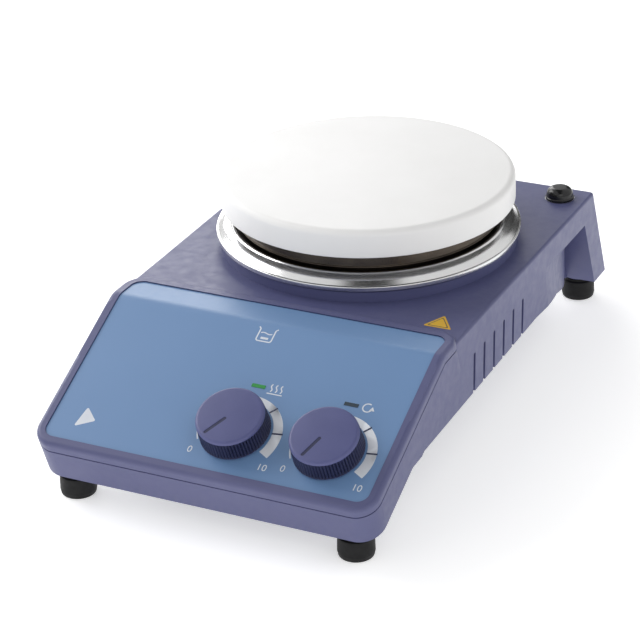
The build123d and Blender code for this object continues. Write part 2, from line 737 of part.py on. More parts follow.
def make_hot_plate():
    """Round work plate with a skirt; the top edge is rounded."""
    plate = rod(0, PLATE_Y, PLATE_BOTTOM_Z, PLATE_TOP_Z, PLATE_RADIUS)
    plate = fillet(plate.faces().sort_by(Axis.Z)[-1].edges(), PLATE_EDGE)
    lower = plate.faces().sort_by(Axis.Z)[0].edges()
    plate = fillet(lower, 0.8)
    inner_top = PLATE_TOP_Z - PLATE_TOP_THICK
    plate -= rod(0, PLATE_Y, 0, inner_top, PLATE_RADIUS - PLATE_SKIRT)
    for x, y in spacer_places():
        plate -= rod(x, y, 0, inner_top + 3.5, 1.6)
    return plate


def make_heating_element():
    """Tubular heater bent to almost a full circle, with two tails down."""
    outline = Plane.XZ * Pos(HEATER_RADIUS, HEATER_Z) * Circle(HEATER_TUBE)
    first, last = HEATER_ENDS
    loop = Pos(0, PLATE_Y, 0) * Rot(0, 0, first) * revolve(outline, axis=Axis.Z, revolution_arc=last - first)
    for x, y in heater_tails():
        loop += Pos(x, y, HEATER_Z) * Sphere(HEATER_TUBE)
        loop += rod(x, y, SHIELD_TOP_Z - 3.9, HEATER_Z, 2.0)
    return loop


def heater_tails():
    """Places where the heater tails go through the sheets below the plate."""
    return [
        (HEATER_RADIUS * cos(radians(a)), PLATE_Y + HEATER_RADIUS * sin(radians(a))) for a in HEATER_ENDS
    ]


def make_insulation_disc():
    """Insulating disc between the heater and the heat shield."""
    disc = rod(0, PLATE_Y, SHIELD_TOP_Z, SHIELD_TOP_Z + INSULATION_THICK, INSULATION_RADIUS)
    for x, y in spacer_places():
        disc -= rod(x, y, 0, 100, 4.2)
    for x, y in heater_tails():
        disc -= rod(x, y, 0, 100, HEATER_HOLE)
    return disc - rod(*SENSOR, 0, 100, SENSOR_HOLE)


def make_heat_shield():
    """Stainless drum that stands in the collar and carries the plate."""
    outer = [
        (0, SHIELD_TOP_Z),
        (SHIELD_RADIUS - 1.5, SHIELD_TOP_Z),
        (SHIELD_RADIUS, SHIELD_TOP_Z - 1.5),
        (SHIELD_RADIUS, COLLAR_TOP_Z + SHEET),
        (RING_INNER + 3.0, COLLAR_TOP_Z + SHEET),
        (RING_INNER + 3.0, COLLAR_TOP_Z),
        (SHIELD_RADIUS - SHEET, COLLAR_TOP_Z),
        (SHIELD_RADIUS - SHEET, SHIELD_TOP_Z - 1.5 - SHEET / 3),
        (SHIELD_RADIUS - 1.5 - SHEET / 3, SHIELD_TOP_Z - SHEET),
        (0, SHIELD_TOP_Z - SHEET),
    ]
    drum = revolved(outer, 0, PLATE_Y)
    for x, y in spacer_places():
        drum -= rod(x, y, 0, 100, SPACER_SCREW_HOLE)
    for x, y in heater_tails():
        drum -= rod(x, y, 0, 100, HEATER_HOLE)
    return drum - rod(*SENSOR, 0, 100, SENSOR_HOLE)


def make_drip_ring():
    """Polished ring that rises from its rolled rim to an upright inner wall."""
    seat = COLLAR_TOP_Z + SHEET
    wall = RING_INNER + RING_SHEET
    lip = RING_RADIUS - RING_SHEET
    crown = (RING_RADIUS - 3.8, RING_TOP_Z - 1.3)
    profile = [
        (RING_INNER, seat),
        (RING_INNER, RING_TOP_Z - 0.5),
        (RING_INNER + 0.6, RING_TOP_Z),
        crown,
        (RING_RADIUS - 0.7, RING_RIM_Z),
        (RING_RADIUS, RING_RIM_Z - 0.7),
        (RING_RADIUS, seat + 0.2),
        (lip, seat + 0.2),
        (lip, RING_RIM_Z - 1.1),
        (crown[0] - 0.4, crown[1] - 1.0),
        (wall, RING_TOP_Z - 1.0),
        (wall, seat),
    ]
    return revolved(profile, 0, PLATE_Y)


def make_plate_spacers():
    """Ceramic spacers between the heat shield and the plate."""
    top = PLATE_TOP_Z - PLATE_TOP_THICK
    return group([
        rod(x, y, SHIELD_TOP_Z, top, 3.9) - rod(x, y, 0, 100, SPACER_SCREW_HOLE) for x, y in spacer_places()
    ])


def make_plate_screws():
    """Screws from under the heat shield into the plate."""
    low = SHIELD_TOP_Z - SHEET
    top = PLATE_TOP_Z - PLATE_TOP_THICK + 3.0
    return group([rod(x, y, low, top, 1.5) + rod(x, y, low - 2, low, 2.9) for x, y in spacer_places()])


def make_temperature_sensor():
    """Temperature probe pressed up against the plate."""
    x, y = SENSOR
    return rod(x, y, SHIELD_TOP_Z - 3, PLATE_TOP_Z - PLATE_TOP_THICK - 0.05, 2.0)


def make_thermal_cutout():
    """Thermal cut-out under the heat shield."""
    low = SHIELD_TOP_Z - SHEET
    body = rod(0, PLATE_Y + 46, low - 5, low, 7.5)
    for dx in (-4, 4):
        body += box(dx - 2.4, dx + 2.4, PLATE_Y + 45.6, PLATE_Y + 46.4, low - 11, low - 4.9)
    return body


def make_power_inlet():
    """Mains inlet in the rear panel, with its socket cavity."""
    y = REAR_PANEL_Y
    flange = box(INLET_X - 25, INLET_X + 25, y, y + 2.5, INLET_Z - 11.5, INLET_Z + 11.5)
    flange = fillet(flange.edges().filter_by(Axis.Y), 6.0)
    body = box(INLET_X - 13.9, INLET_X + 13.9, y - 14, y + 2.5, INLET_Z - 10, INLET_Z + 10)
    shell = flange + body
    mouth = box(INLET_X - 12, INLET_X + 12, y - 12.5, y + 6, INLET_Z - 8.2, INLET_Z + 8.2)
    upper = [e for e in mouth.edges().filter_by(Axis.Y) if e.center().Z > INLET_Z]
    shell -= chamfer(upper, 5.0)
    for dx in (-INLET_SCREW_X, INLET_SCREW_X):
        shell -= rod_y(INLET_X + dx, INLET_Z, y - 5, y + 5, 1.7)
    for x, z in pin_places():
        shell -= box(x - 1.05, x + 1.05, y - 20, y, z - 2.05, z + 2.05)
    return shell


def pin_places():
    """Centres of the inlet's three pins."""
    return [(INLET_X - 7, INLET_Z - 2), (INLET_X + 7, INLET_Z - 2), (INLET_X, INLET_Z + 2)]


def make_inlet_pins():
    """Flat contact pins of the inlet."""
    y = REAR_PANEL_Y
    return group([box(x - 1, x + 1, y - 19, y - 0.5, z - 2, z + 2) for x, z in pin_places()])


def make_inlet_screws():
    """Screws that hold the inlet's flange."""
    y = REAR_PANEL_Y + 2.5
    screws = []
    for dx in (-INLET_SCREW_X, INLET_SCREW_X):
        x = INLET_X + dx
        screws.append(rod_y(x, INLET_Z, y, y + 1.8, 2.8) + rod_y(x, INLET_Z, y - 7, y + 0.5, 1.5))
    return group(screws)


def make_fuse_holder():
    """Panel fuse holder: flange and barrel."""
    y = REAR_PANEL_Y
    holder = rod_y(FUSE_X, INLET_Z, y, y + 2.0, 8.0)
    holder += rod_y(FUSE_X, INLET_Z, y - 30, y + 0.5, FUSE_BARREL)
    return holder - rod_y(FUSE_X, INLET_Z, y - 28.5, y + 5, 4.4)


def make_fuse_cap():
    """Cap of the fuse holder with its stem."""
    y = REAR_PANEL_Y + 2.0
    cap = rod_y(FUSE_X, INLET_Z, y + 0.1, y + 6.0, 6.2)
    cap = fillet(cap.faces().sort_by(Axis.Y)[-1].edges(), 1.0)
    cap += rod_y(FUSE_X, INLET_Z, y - 6.0, y + 0.5, 4.1)
    cap -= box(FUSE_X - 4, FUSE_X + 4, y + 5, y + 8, INLET_Z - 0.6, INLET_Z + 0.6)
    return cap - rod_y(FUSE_X, INLET_Z, y - 10, y - 2.0, 2.6)


def make_fuse_link():
    """Glass fuse carried by the cap."""
    return rod_y(FUSE_X, INLET_Z, REAR_PANEL_Y - 20, REAR_PANEL_Y, 2.5)


def make_power_switch_frame():
    """Frame and case of the rocker switch."""
    y = REAR_PANEL_Y
    frame = box(SWITCH_X - 7.5, SWITCH_X + 7.5, y, y + 2.0, INLET_Z - 10.5, INLET_Z + 10.5)
    frame = fillet(frame.edges().filter_by(Axis.Y), 1.5)
    half_x, half_z = SWITCH_HALF
    frame += box(SWITCH_X - half_x, SWITCH_X + half_x, y - 16, y + 0.5, INLET_Z - half_z, INLET_Z + half_z)
    frame -= rod_x(INLET_Z, ROCKER_PIVOT_Y, SWITCH_X - half_x - 1, SWITCH_X + half_x + 1, ROCKER_PIN + 0.2)
    half_x, half_z = half_x - 1.0, half_z - 0.9
    return frame - box(SWITCH_X - half_x, SWITCH_X + half_x, y - 7, y + 5, INLET_Z - half_z, INLET_Z + half_z)


def make_power_rocker():
    """Rocker on its pivot pins, resting with its lower half pressed."""
    pivot = Pos(SWITCH_X, ROCKER_PIVOT_Y, INLET_Z)
    half = Plane.YZ * make_face(
        Polyline((-3.5, -3.5), (-3.5, 3.5), (2.2, 7.9), (4.4, 7.7), (3.4, 0), (4.4, -7.7), (2.2, -7.9),
                 close=True)
    )
    rocker = extrude(half, amount=5.0, both=True)
    reach = SWITCH_HALF[0] - 0.2
    pins = rod_x(INLET_Z, ROCKER_PIVOT_Y, SWITCH_X - reach, SWITCH_X + reach, ROCKER_PIN)
    return pivot * Rot(-ROCKER_TILT, 0, 0) * rocker + pins


def make_rod_socket():
    """Blind threaded steel insert for a support rod, with a collar that stands above the deck."""
    insert = rod(SOCKET_X, SOCKET_Y, SOCKET_BOTTOM_Z, DECK_Z, SOCKET_RADIUS)
    insert += rod(SOCKET_X, SOCKET_Y, DECK_Z - 1, DECK_Z + SOCKET_COLLAR_TOP, SOCKET_COLLAR)
    return insert - rod(SOCKET_X, SOCKET_Y, SOCKET_BOTTOM_Z + SOCKET_FLOOR, 90, M10_MINOR / 2)


def make_socket_cap():
    """Rubber dome that fits over the rod socket's collar."""
    dome = rod(SOCKET_X, SOCKET_Y, DECK_Z + 0.05, DECK_Z + CAP_HEIGHT, CAP_RADIUS)
    dome = fillet(dome.faces().sort_by(Axis.Z)[-1].edges(), 4.2)
    return dome - rod(SOCKET_X, SOCKET_Y, DECK_Z - 1, DECK_Z + CAP_HOLLOW_TOP, CAP_HOLLOW)


def make_foot(name):
    """Rubber foot with a neck and a counterbore for its screw."""
    x, y = foot_places()[name]
    foot = rod(x, y, 0, FOOT_HEIGHT - 1.4, FOOT_RADIUS)
    foot = fillet(foot.faces().sort_by(Axis.Z)[0].edges(), 1.4)
    foot += rod(x, y, FOOT_HEIGHT - 2, FOOT_HEIGHT, FOOT_RADIUS - 1.2)
    return foot - rod(x, y, -1, 4.5, 4.5) - rod(x, y, 0, 20, 2.2)


def make_foot_screws():
    """Screws up through the feet into the housing."""
    return group([
        rod(x, y, 1.6, 4.5, 3.8) + rod(x, y, 4.0, FOOT_HEIGHT + 10, 2.0) for x, y in foot_places().values()
    ])


def make_earth_stud():
    """Earth stud with its nut on the bottom cover."""
    x, y, low = 52.0, 84.0, COVER_Z + COVER_THICK
    nut = Pos(x, y, low) * extrude(RegularPolygon(4.0, 6), amount=3.0)
    return nut + rod(x, y, low, low + 9, 2.0)


def main():
    """Write every node."""
    nodes = {
        "top_housing": make_top_housing(),
        "bottom_cover": make_bottom_cover(),
        "cover_screws": make_cover_screws(),
        "control_overlay": make_control_overlay(),
        "pot_nuts": make_pot_nuts(),
        "control_board": make_control_board(),
        "board_standoffs": make_board_standoffs(),
        "power_board": make_power_board(),
        "power_board_posts": make_power_board_posts(),
        "relay": make_relay(),
        "capacitor": make_capacitor(),
        "terminal_block": make_terminal_block(),
        "triac_heatsink": make_triac_heatsink(),
        "motor_stator": make_motor_stator(),
        "motor_coil": make_motor_coil(),
        "motor_brackets": make_motor_brackets(),
        "motor_bushes": make_motor_bushes(),
        "motor_mounts": make_motor_mounts(),
        "motor_screws": make_motor_screws(),
        "motor_shaft": make_motor_shaft(),
        "motor_rotor": make_motor_rotor(),
        "magnet_carrier": make_magnet_carrier(),
        "drive_magnets": make_drive_magnets(),
        "hot_plate": make_hot_plate(),
        "heating_element": make_heating_element(),
        "insulation_disc": make_insulation_disc(),
        "heat_shield": make_heat_shield(),
        "drip_ring": make_drip_ring(),
        "plate_spacers": make_plate_spacers(),
        "plate_screws": make_plate_screws(),
        "temperature_sensor": make_temperature_sensor(),
        "thermal_cutout": make_thermal_cutout(),
        "power_inlet": make_power_inlet(),
        "inlet_pins": make_inlet_pins(),
        "inlet_screws": make_inlet_screws(),
        "fuse_holder": make_fuse_holder(),
        "fuse_cap": make_fuse_cap(),
        "fuse_link": make_fuse_link(),
        "power_switch_frame": make_power_switch_frame(),
        "power_rocker": make_power_rocker(),
        "rod_socket": make_rod_socket(),
        "socket_cap": make_socket_cap(),
        "foot_screws": make_foot_screws(),
        "earth_stud": make_earth_stud(),
    }
    for name in KNOB_U:
        nodes[f"{name}_knob"] = make_knob(name)
        nodes[f"{name}_knob_shaft"] = make_knob_shaft(name)
        nodes[f"{name}_potentiometer"] = make_potentiometer(name)
        nodes[f"{name}_lamp"] = make_lamp(name)
    for name in foot_places():
        nodes[f"foot_{name}"] = make_foot(name)
    os.makedirs("parts", exist_ok=True)
    for name, shape in nodes.items():
        export_step(shape, f"parts/{name}.step")


if __name__ == "__main__":
    main()
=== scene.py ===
import json
from math import cos, hypot, pi, radians, sin, tan

import bmesh
import bpy
from mathutils import Matrix, Vector


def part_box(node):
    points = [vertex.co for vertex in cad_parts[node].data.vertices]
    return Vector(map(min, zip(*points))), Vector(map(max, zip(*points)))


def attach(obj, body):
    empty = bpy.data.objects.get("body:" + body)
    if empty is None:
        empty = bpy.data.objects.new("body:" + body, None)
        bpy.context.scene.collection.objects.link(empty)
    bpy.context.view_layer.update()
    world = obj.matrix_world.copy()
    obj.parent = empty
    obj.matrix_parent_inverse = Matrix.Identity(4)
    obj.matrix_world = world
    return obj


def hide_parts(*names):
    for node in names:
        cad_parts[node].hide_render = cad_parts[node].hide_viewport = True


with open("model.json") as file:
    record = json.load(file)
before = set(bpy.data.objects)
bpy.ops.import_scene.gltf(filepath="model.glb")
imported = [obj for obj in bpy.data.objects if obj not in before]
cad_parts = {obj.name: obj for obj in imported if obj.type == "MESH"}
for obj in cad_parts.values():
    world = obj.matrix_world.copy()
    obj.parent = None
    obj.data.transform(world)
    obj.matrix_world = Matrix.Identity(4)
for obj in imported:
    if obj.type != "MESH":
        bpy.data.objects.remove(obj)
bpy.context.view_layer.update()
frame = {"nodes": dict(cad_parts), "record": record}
record = frame["record"]
joints = {joint["name"]: joint for joint in record["behaviour"]["joints"]}
MM = 0.001


# ---------------------------------------------------------------- camera

CAMERA_AZIMUTH = radians(26.39)
CAMERA_ELEVATION = radians(26.68)
CAMERA_ROLL = radians(-1.97)
CAMERA_TARGET = Vector((-9.26, -2.0, 34.88)) * MM
CAMERA_DISTANCE = 1153.98 * MM
CAMERA_LENS = 142.08
CAMERA_SENSOR = 36
CAMERA_NEAR = 0.05


def make_camera():
    """Camera for a three-quarter view from the front right, slightly rolled."""
    a, e, r = CAMERA_AZIMUTH, CAMERA_ELEVATION, CAMERA_ROLL
    back = Vector((sin(a) * cos(e), -cos(a) * cos(e), sin(e)))
    level = Vector((cos(a), sin(a), 0))
    upward = back.cross(level)
    right = level * cos(r) + upward * sin(r)
    up = upward * cos(r) - level * sin(r)
    camera = bpy.data.objects.new("camera", bpy.data.cameras.new("camera"))
    camera.data.lens = CAMERA_LENS
    camera.data.sensor_width = CAMERA_SENSOR
    camera.data.clip_start = CAMERA_NEAR
    turn = Matrix((right, up, back)).transposed().to_4x4()
    camera.matrix_world = Matrix.Translation(CAMERA_TARGET + back * CAMERA_DISTANCE) @ turn
    bpy.context.scene.collection.objects.link(camera)
    bpy.context.scene.camera = camera


# ---------------------------------------------------------------- materials

# Noise stays mostly between these two values, so ranges are mapped from them.
NOISE_LOW, NOISE_HIGH = 0.3, 0.7
FINE_GRAIN = 4000


class Surface:
    """A node material on one Principled shader, built up in steps."""

    def __init__(self, name, roughness=0.5, metallic=0.0):
        self.material = bpy.data.materials.new(name)
        self.material.use_nodes = True
        self.tree = self.material.node_tree
        self.shader = self.tree.nodes["Principled BSDF"]
        self.set("Roughness", roughness)
        self.set("Metallic", metallic)
        self.place = self.node("ShaderNodeTexCoord").outputs["Object"]

    def node(self, kind, **values):
        """A node with its properties set."""
        made = self.tree.nodes.new(kind)
        for key, value in values.items():
            setattr(made, key, value)
        return made

    def link(self, source, target):
        """Join an output to an input."""
        self.tree.links.new(source, target)

    def set(self, socket, value):
        """Set one of the shader's own sockets."""
        self.shader.inputs[socket].default_value = value

    def noise(self, scale, detail=2.0, stretch=(1, 1, 1), place=None):
        """Noise over the object's own coordinates, in metres."""
        mapping = self.node("ShaderNodeMapping")
        mapping.inputs["Scale"].default_value = stretch
        self.link(place or self.place, mapping.inputs["Vector"])
        texture = self.node("ShaderNodeTexNoise")
        texture.inputs["Scale"].default_value = scale
        texture.inputs["Detail"].default_value = detail
        self.link(mapping.outputs["Vector"], texture.inputs["Vector"])
        return texture.outputs["Fac"]

    def ramp(self, value, stops):
        """Colours along a value, between two stops of (position, colour)."""
        ramp = self.node("ShaderNodeValToRGB")
        for element, (position, color) in zip(ramp.color_ramp.elements, stops):
            element.position = position
            element.color = (*color, 1)
        self.link(value, ramp.inputs["Fac"])
        return ramp.outputs["Color"]

    def spread(self, value, low, high):
        """Map a noise value to a range."""
        mapped = self.node("ShaderNodeMapRange")
        mapped.inputs["From Min"].default_value = NOISE_LOW
        mapped.inputs["From Max"].default_value = NOISE_HIGH
        mapped.inputs["To Min"].default_value = low
        mapped.inputs["To Max"].default_value = high
        self.link(value, mapped.inputs["Value"])
        return mapped.outputs["Result"]

    def math(self, operation, first, second):
        """One maths step; second is a number or an output."""
        step = self.node("ShaderNodeMath", operation=operation)
        self.link(first, step.inputs[0])
        if isinstance(second, (int, float)):
            step.inputs[1].default_value = second
        else:
            self.link(second, step.inputs[1])
        return step.outputs[0]

    def color(self, low, high, scale, detail=3.0, stretch=(1, 1, 1)):
        """Base colour that drifts between two near colours."""
        value = self.noise(scale, detail, stretch)
        self.paint(value, low, high)

    def paint(self, value, low, high):
        """Base colour from a noise value, between two colours."""
        self.link(self.ramp(value, [(NOISE_LOW, low), (NOISE_HIGH, high)]), self.shader.inputs["Base Color"])

    def rough(self, low, high, scale, stretch=(1, 1, 1)):
        """Roughness that varies over the surface."""
        value = self.spread(self.noise(scale, 3.0, stretch), low, high)
        self.link(value, self.shader.inputs["Roughness"])

    def bumps(self, layers):
        """Bump from layers of (height source, depth in metres, strength)."""
        previous = None
        for source, depth, strength in layers:
            bump = self.node("ShaderNodeBump")
            bump.inputs["Strength"].default_value = strength
            bump.inputs["Distance"].default_value = depth
            self.link(source, bump.inputs["Height"])
            if previous is not None:
                self.link(previous, bump.inputs["Normal"])
            previous = bump.outputs["Normal"]
        self.link(previous, self.shader.inputs["Normal"])

    def polar(self, centre):
        """Coordinates of radius, turn and height about an upright axis."""
        shift = self.node("ShaderNodeVectorMath", operation="SUBTRACT")
        shift.inputs[1].default_value = centre
        self.link(self.place, shift.inputs[0])
        parts = self.node("ShaderNodeSeparateXYZ")
        self.link(shift.outputs["Vector"], parts.inputs["Vector"])
        x, y, z = parts.outputs
        squares = self.math("ADD", self.math("MULTIPLY", x, x), self.math("MULTIPLY", y, y))
        radius = self.math("POWER", squares, 0.5)
        turn = self.math("ARCTAN2", y, x)
        joined = self.node("ShaderNodeCombineXYZ")
        for source, target in zip((radius, turn, z), joined.inputs):
            self.link(source, target)
        return joined.outputs["Vector"]


def housing_paint():
    """Slate-blue powder coat with a fine orange peel and slightly varied tone."""
    s = Surface("housing_paint", 0.42)
    s.color((0.090, 0.097, 0.214), (0.102, 0.109, 0.232), 22, 4)
    s.rough(0.36, 0.48, 260)
    s.bumps([(s.noise(900, 2), 0.00006, 0.35), (s.noise(3200, 2), 0.00002, 0.3)])
    return s.material


def overlay_blue():
    """Printed polycarbonate sheet with a velvet finish."""
    s = Surface("overlay_blue", 0.36)
    s.color((0.148, 0.266, 0.480), (0.156, 0.278, 0.498), 16, 3)
    s.rough(0.32, 0.40, 420)
    s.bumps([(s.noise(5200, 2), 0.00001, 0.35), (s.noise(60, 1), 0.0002, 0.12)])
    return s.material


def knob_plastic(name, low, high):
    """Moulded slate-violet plastic in the given colours; its darker copy paints shade onto the ribbed skirt.
    """
    s = Surface(name, 0.42)
    s.color(low, high, 90, 3)
    s.rough(0.38, 0.50, 500)
    s.bumps([(s.noise(2600, 3), 0.00003, 0.3)])
    return s.material


def white_ceramic():
    """White glazed coating of the work plate with very faint mottling."""
    s = Surface("white_ceramic", 0.45)
    s.color((0.865, 0.860, 0.852), (0.890, 0.886, 0.880), 34, 4)
    s.rough(0.42, 0.52, 180)
    s.bumps([(s.noise(1400, 2), 0.00003, 0.25), (s.noise(70, 1), 0.0001, 0.1)])
    return s.material


def turned_steel(name, centre, low, high, roughness, depth):
    """Steel with fine marks that run round an upright axis."""
    s = Surface(name, roughness[0], 1.0)
    place = s.polar(centre)
    marks = s.noise(60, 3, (90, 1.5, 90), place=place)
    s.paint(s.noise(30, 3), low, high)
    s.link(s.spread(marks, *roughness), s.shader.inputs["Roughness"])
    s.bumps([(marks, depth, 0.3)])
    return s.material


def plain(name, low, high, roughness, metallic=0.0, scale=60, grain=1500, depth=0.00004, specular=0.5):
    """Surface with drifting colour, varied roughness and a fine grain."""
    s = Surface(name, roughness[0], metallic)
    s.color(low, high, scale)
    s.rough(*roughness, scale * 6)
    s.set("Specular IOR Level", specular)
    s.bumps([(s.noise(grain, 3), depth, 0.35)])
    return s.material


def layered(name, low, high, roughness, metallic, pitch, direction):
    """Surface with fine layers along one axis, such as a lamination stack or wound tape."""
    s = Surface(name, roughness, metallic)
    wave = s.node("ShaderNodeTexWave", bands_direction=direction, wave_profile="SAW")
    wave.inputs["Scale"].default_value = 1 / (pitch * 20)
    wave.inputs["Distortion"].default_value = 0.3
    s.link(s.place, wave.inputs["Vector"])
    s.link(s.ramp(wave.outputs["Fac"], [(0.15, low), (0.5, high)]), s.shader.inputs["Base Color"])
    s.rough(roughness, roughness + 0.15, 300)
    s.bumps([(wave.outputs["Fac"], 0.0001, 0.5)])
    return s.material


def circuit_board():
    """Green solder mask with copper tracks showing through."""
    s = Surface("circuit_board", 0.35)
    tracks = s.node("ShaderNodeTexBrick", offset=0.5)
    tracks.inputs["Scale"].default_value = 130
    tracks.inputs["Mortar Size"].default_value = 0.035
    tracks.inputs["Color1"].default_value = (0.012, 0.115, 0.045, 1)
    tracks.inputs["Color2"].default_value = (0.015, 0.135, 0.050, 1)
    tracks.inputs["Mortar"].default_value = (0.040, 0.230, 0.090, 1)
    s.link(s.place, tracks.inputs["Vector"])
    s.link(tracks.outputs["Color"], s.shader.inputs["Base Color"])
    s.bumps([(tracks.outputs["Fac"], 0.00005, 0.5)])
    return s.material


def clear_glass():
    """Glass of the fuse tube."""
    s = Surface("fuse_glass", 0.05)
    s.color((0.90, 0.94, 0.93), (0.96, 0.98, 0.97), 200)
    s.set("Transmission Weight", 0.9)
    s.rough(0.03, 0.08, 700)
    return s.material


def lamp(name, low, high):
    """Moulded light pipe with fine flutes."""
    s = Surface(name, 0.22)
    s.color(low, high, 400)
    s.set("Coat Weight", 0.4)
    s.bumps([(s.noise(1500, 1, (1, 6, 1)), 0.00004, 0.4)])
    return s.material


def make_materials(axis):
    """Every material by its slot in the record, with the extra ones that only scene pieces use."""
    made = {
        "housing_paint": housing_paint(),
        "overlay_blue": overlay_blue(),
        "knob_plastic": knob_plastic("knob_plastic", (0.080, 0.089, 0.225), (0.090, 0.099, 0.245)),
        # Darker copy of the knob plastic: painted shade on the ribbed skirt, also the dark fill of the
        # pointer groove.
        "knob_ribs": knob_plastic("knob_ribs", (0.016, 0.019, 0.062), (0.025, 0.029, 0.082)),
        "white_ceramic": white_ceramic(),
        "polished_steel": turned_steel(
            "polished_steel", axis, (0.80, 0.80, 0.80), (0.88, 0.88, 0.88), (0.12, 0.24), 0.000004
        ),
        # Very dark brown metal for the drum under the plate: partly heat tint, partly painted shade and
        # painted dark reflection.
        "shield_steel": turned_steel(
            "shield_steel", axis, (0.050, 0.042, 0.036), (0.100, 0.082, 0.066), (0.22, 0.38), 0.00001
        ),
        "cover_steel": plain(
            "cover_steel", (0.060, 0.064, 0.105), (0.075, 0.080, 0.125), (0.45, 0.6)
        ),
        "black_rubber": plain(
            "black_rubber", (0.004, 0.004, 0.0045), (0.007, 0.007, 0.0075), (0.50, 0.66),
            depth=0.00006, specular=0.3,
        ),
        "black_plastic": plain(
            "black_plastic", (0.013, 0.013, 0.014), (0.020, 0.020, 0.021), (0.34, 0.46), grain=2600
        ),
        "rocker_red": plain("rocker_red", (0.38, 0.012, 0.012), (0.45, 0.02, 0.018), (0.2, 0.3)),
        "zinc_screws": plain(
            "zinc_screws", (0.52, 0.53, 0.55), (0.66, 0.66, 0.67), (0.28, 0.42), 1.0, 150
        ),
        "bare_aluminium": plain(
            "bare_aluminium", (0.68, 0.69, 0.70), (0.78, 0.78, 0.79), (0.3, 0.45), 1.0
        ),
        "lamination_steel": layered(
            "lamination_steel", (0.10, 0.10, 0.11), (0.30, 0.30, 0.31), 0.4, 1.0, 0.0005, "Z"
        ),
        "coil_tape": layered("coil_tape", (0.48, 0.33, 0.03), (0.66, 0.48, 0.06), 0.3, 0.0, 0.004, "Y"),
        "bronze": plain("bronze", (0.50, 0.33, 0.13), (0.64, 0.44, 0.19), (0.28, 0.42), 1.0, 120),
        "circuit_board": circuit_board(),
        "capacitor_film": plain(
            "capacitor_film", (0.48, 0.34, 0.04), (0.58, 0.42, 0.06), (0.25, 0.35)
        ),
        "terminal_green": plain(
            "terminal_green", (0.02, 0.22, 0.10), (0.03, 0.27, 0.12), (0.35, 0.5)
        ),
        "heater_sheath": plain(
            "heater_sheath", (0.16, 0.14, 0.13), (0.26, 0.23, 0.21), (0.35, 0.55), 1.0
        ),
        "insulation_fibre": plain(
            "insulation_fibre", (0.55, 0.52, 0.45), (0.68, 0.65, 0.58), (0.8, 0.95),
            grain=900, depth=0.0002,
        ),
        "steatite": plain("steatite", (0.68, 0.65, 0.58), (0.78, 0.75, 0.68), (0.5, 0.65)),
        "ferrite": plain("ferrite", (0.06, 0.06, 0.065), (0.10, 0.10, 0.11), (0.4, 0.55), 0.3),
        "lamp_green": lamp("lamp_green", (0.01, 0.22, 0.04), (0.02, 0.30, 0.05)),
        "lamp_dark": lamp("lamp_dark", (0.012, 0.030, 0.050), (0.018, 0.040, 0.065)),
        "fuse_glass": clear_glass(),
        "print_white": plain(
            "print_white", (0.66, 0.69, 0.76), (0.76, 0.79, 0.84), (0.35, 0.45),
            grain=FINE_GRAIN, depth=0.00001,
        ),
        # Dark print for the scale lines and sticker edge, also used as painted shade in the inlet screws'
        # cross recesses.
        "dark_print_and_painted_shade": plain(
            "dark_print_and_painted_shade", (0.020, 0.030, 0.085), (0.028, 0.040, 0.100), (0.35, 0.45),
            grain=FINE_GRAIN, depth=0.00001,
        ),
        "sticker_yellow": plain(
            "sticker_yellow", (0.70, 0.41, 0.03), (0.78, 0.48, 0.04), (0.35, 0.45),
            grain=FINE_GRAIN, depth=0.00001,
        ),
        "cap_rubber": plain(
            "cap_rubber", (0.006, 0.006, 0.007), (0.010, 0.010, 0.011), (0.14, 0.24), depth=0.00002
        ),
    }
    return made


# ---------------------------------------------------------------- mesh helpers

WELD = 1e-7
ON_AXIS = 1e-9


def finished(name, bm, materials, body, stands_for=(), smooth=35):
    """A mesh piece from a bmesh, shaded smooth up to an angle, riding on a body."""
    bmesh.ops.remove_doubles(bm, verts=bm.verts, dist=WELD)
    bmesh.ops.recalc_face_normals(bm, faces=bm.faces)
    mesh = bpy.data.meshes.new(name)
    bm.to_mesh(mesh)
    bm.free()
    piece = bpy.data.objects.new(name, mesh)
    bpy.context.scene.collection.objects.link(piece)
    for material in materials.split():
        mesh.materials.append(MATERIALS[material])
    mesh.shade_smooth()
    mesh.set_sharp_from_angle(angle=radians(smooth))
    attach(piece, body)
    if stands_for:
        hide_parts(*stands_for)
    return piece


def rounded(corners, steps=6):
    """Closed outline of (x, y, radius) corners with true arcs at the corners."""
    points = []
    count = len(corners)
    for i, (x, y, radius) in enumerate(corners):
        here = Vector((x, y))
        if radius == 0:
            points.append(here)
            continue
        before = (Vector(corners[i - 1][:2]) - here).normalized()
        after = (Vector(corners[(i + 1) % count][:2]) - here).normalized()
        half = before.angle(after) / 2
        reach = radius / tan(half)
        middle = here + (before + after).normalized() * (radius / sin(half))
        start = here + before * reach - middle
        turn = (here + after * reach - middle).angle_signed(start)
        for k in range(steps + 1):
            points.append(middle + Matrix.Rotation(turn * k / steps, 2) @ start)
    return points


def lathe(bm, outline, centre, segments):
    """Revolve a closed (radius, height) outline about an upright axis through centre."""
    rings = []
    for k in range(segments):
        angle = 2 * pi * k / segments
        ring = []
        for r, z in outline:
            ring.append(bm.verts.new(centre + Vector((r * cos(angle), r * sin(angle), z))))
        rings.append(ring)
    count = len(outline)
    for k in range(segments):
        here, after = rings[k], rings[(k + 1) % segments]
        for i in range(count):
            j = (i + 1) % count
            starts_on_axis, ends_on_axis = outline[i][0] < ON_AXIS, outline[j][0] < ON_AXIS
            if starts_on_axis and ends_on_axis:
                continue
            if starts_on_axis:
                corners = [here[i], here[j], after[j]]
            elif ends_on_axis:
                corners = [here[i], here[j], after[i]]
            else:
                corners = [here[i], here[j], after[j], after[i]]
            bm.faces.new(corners)


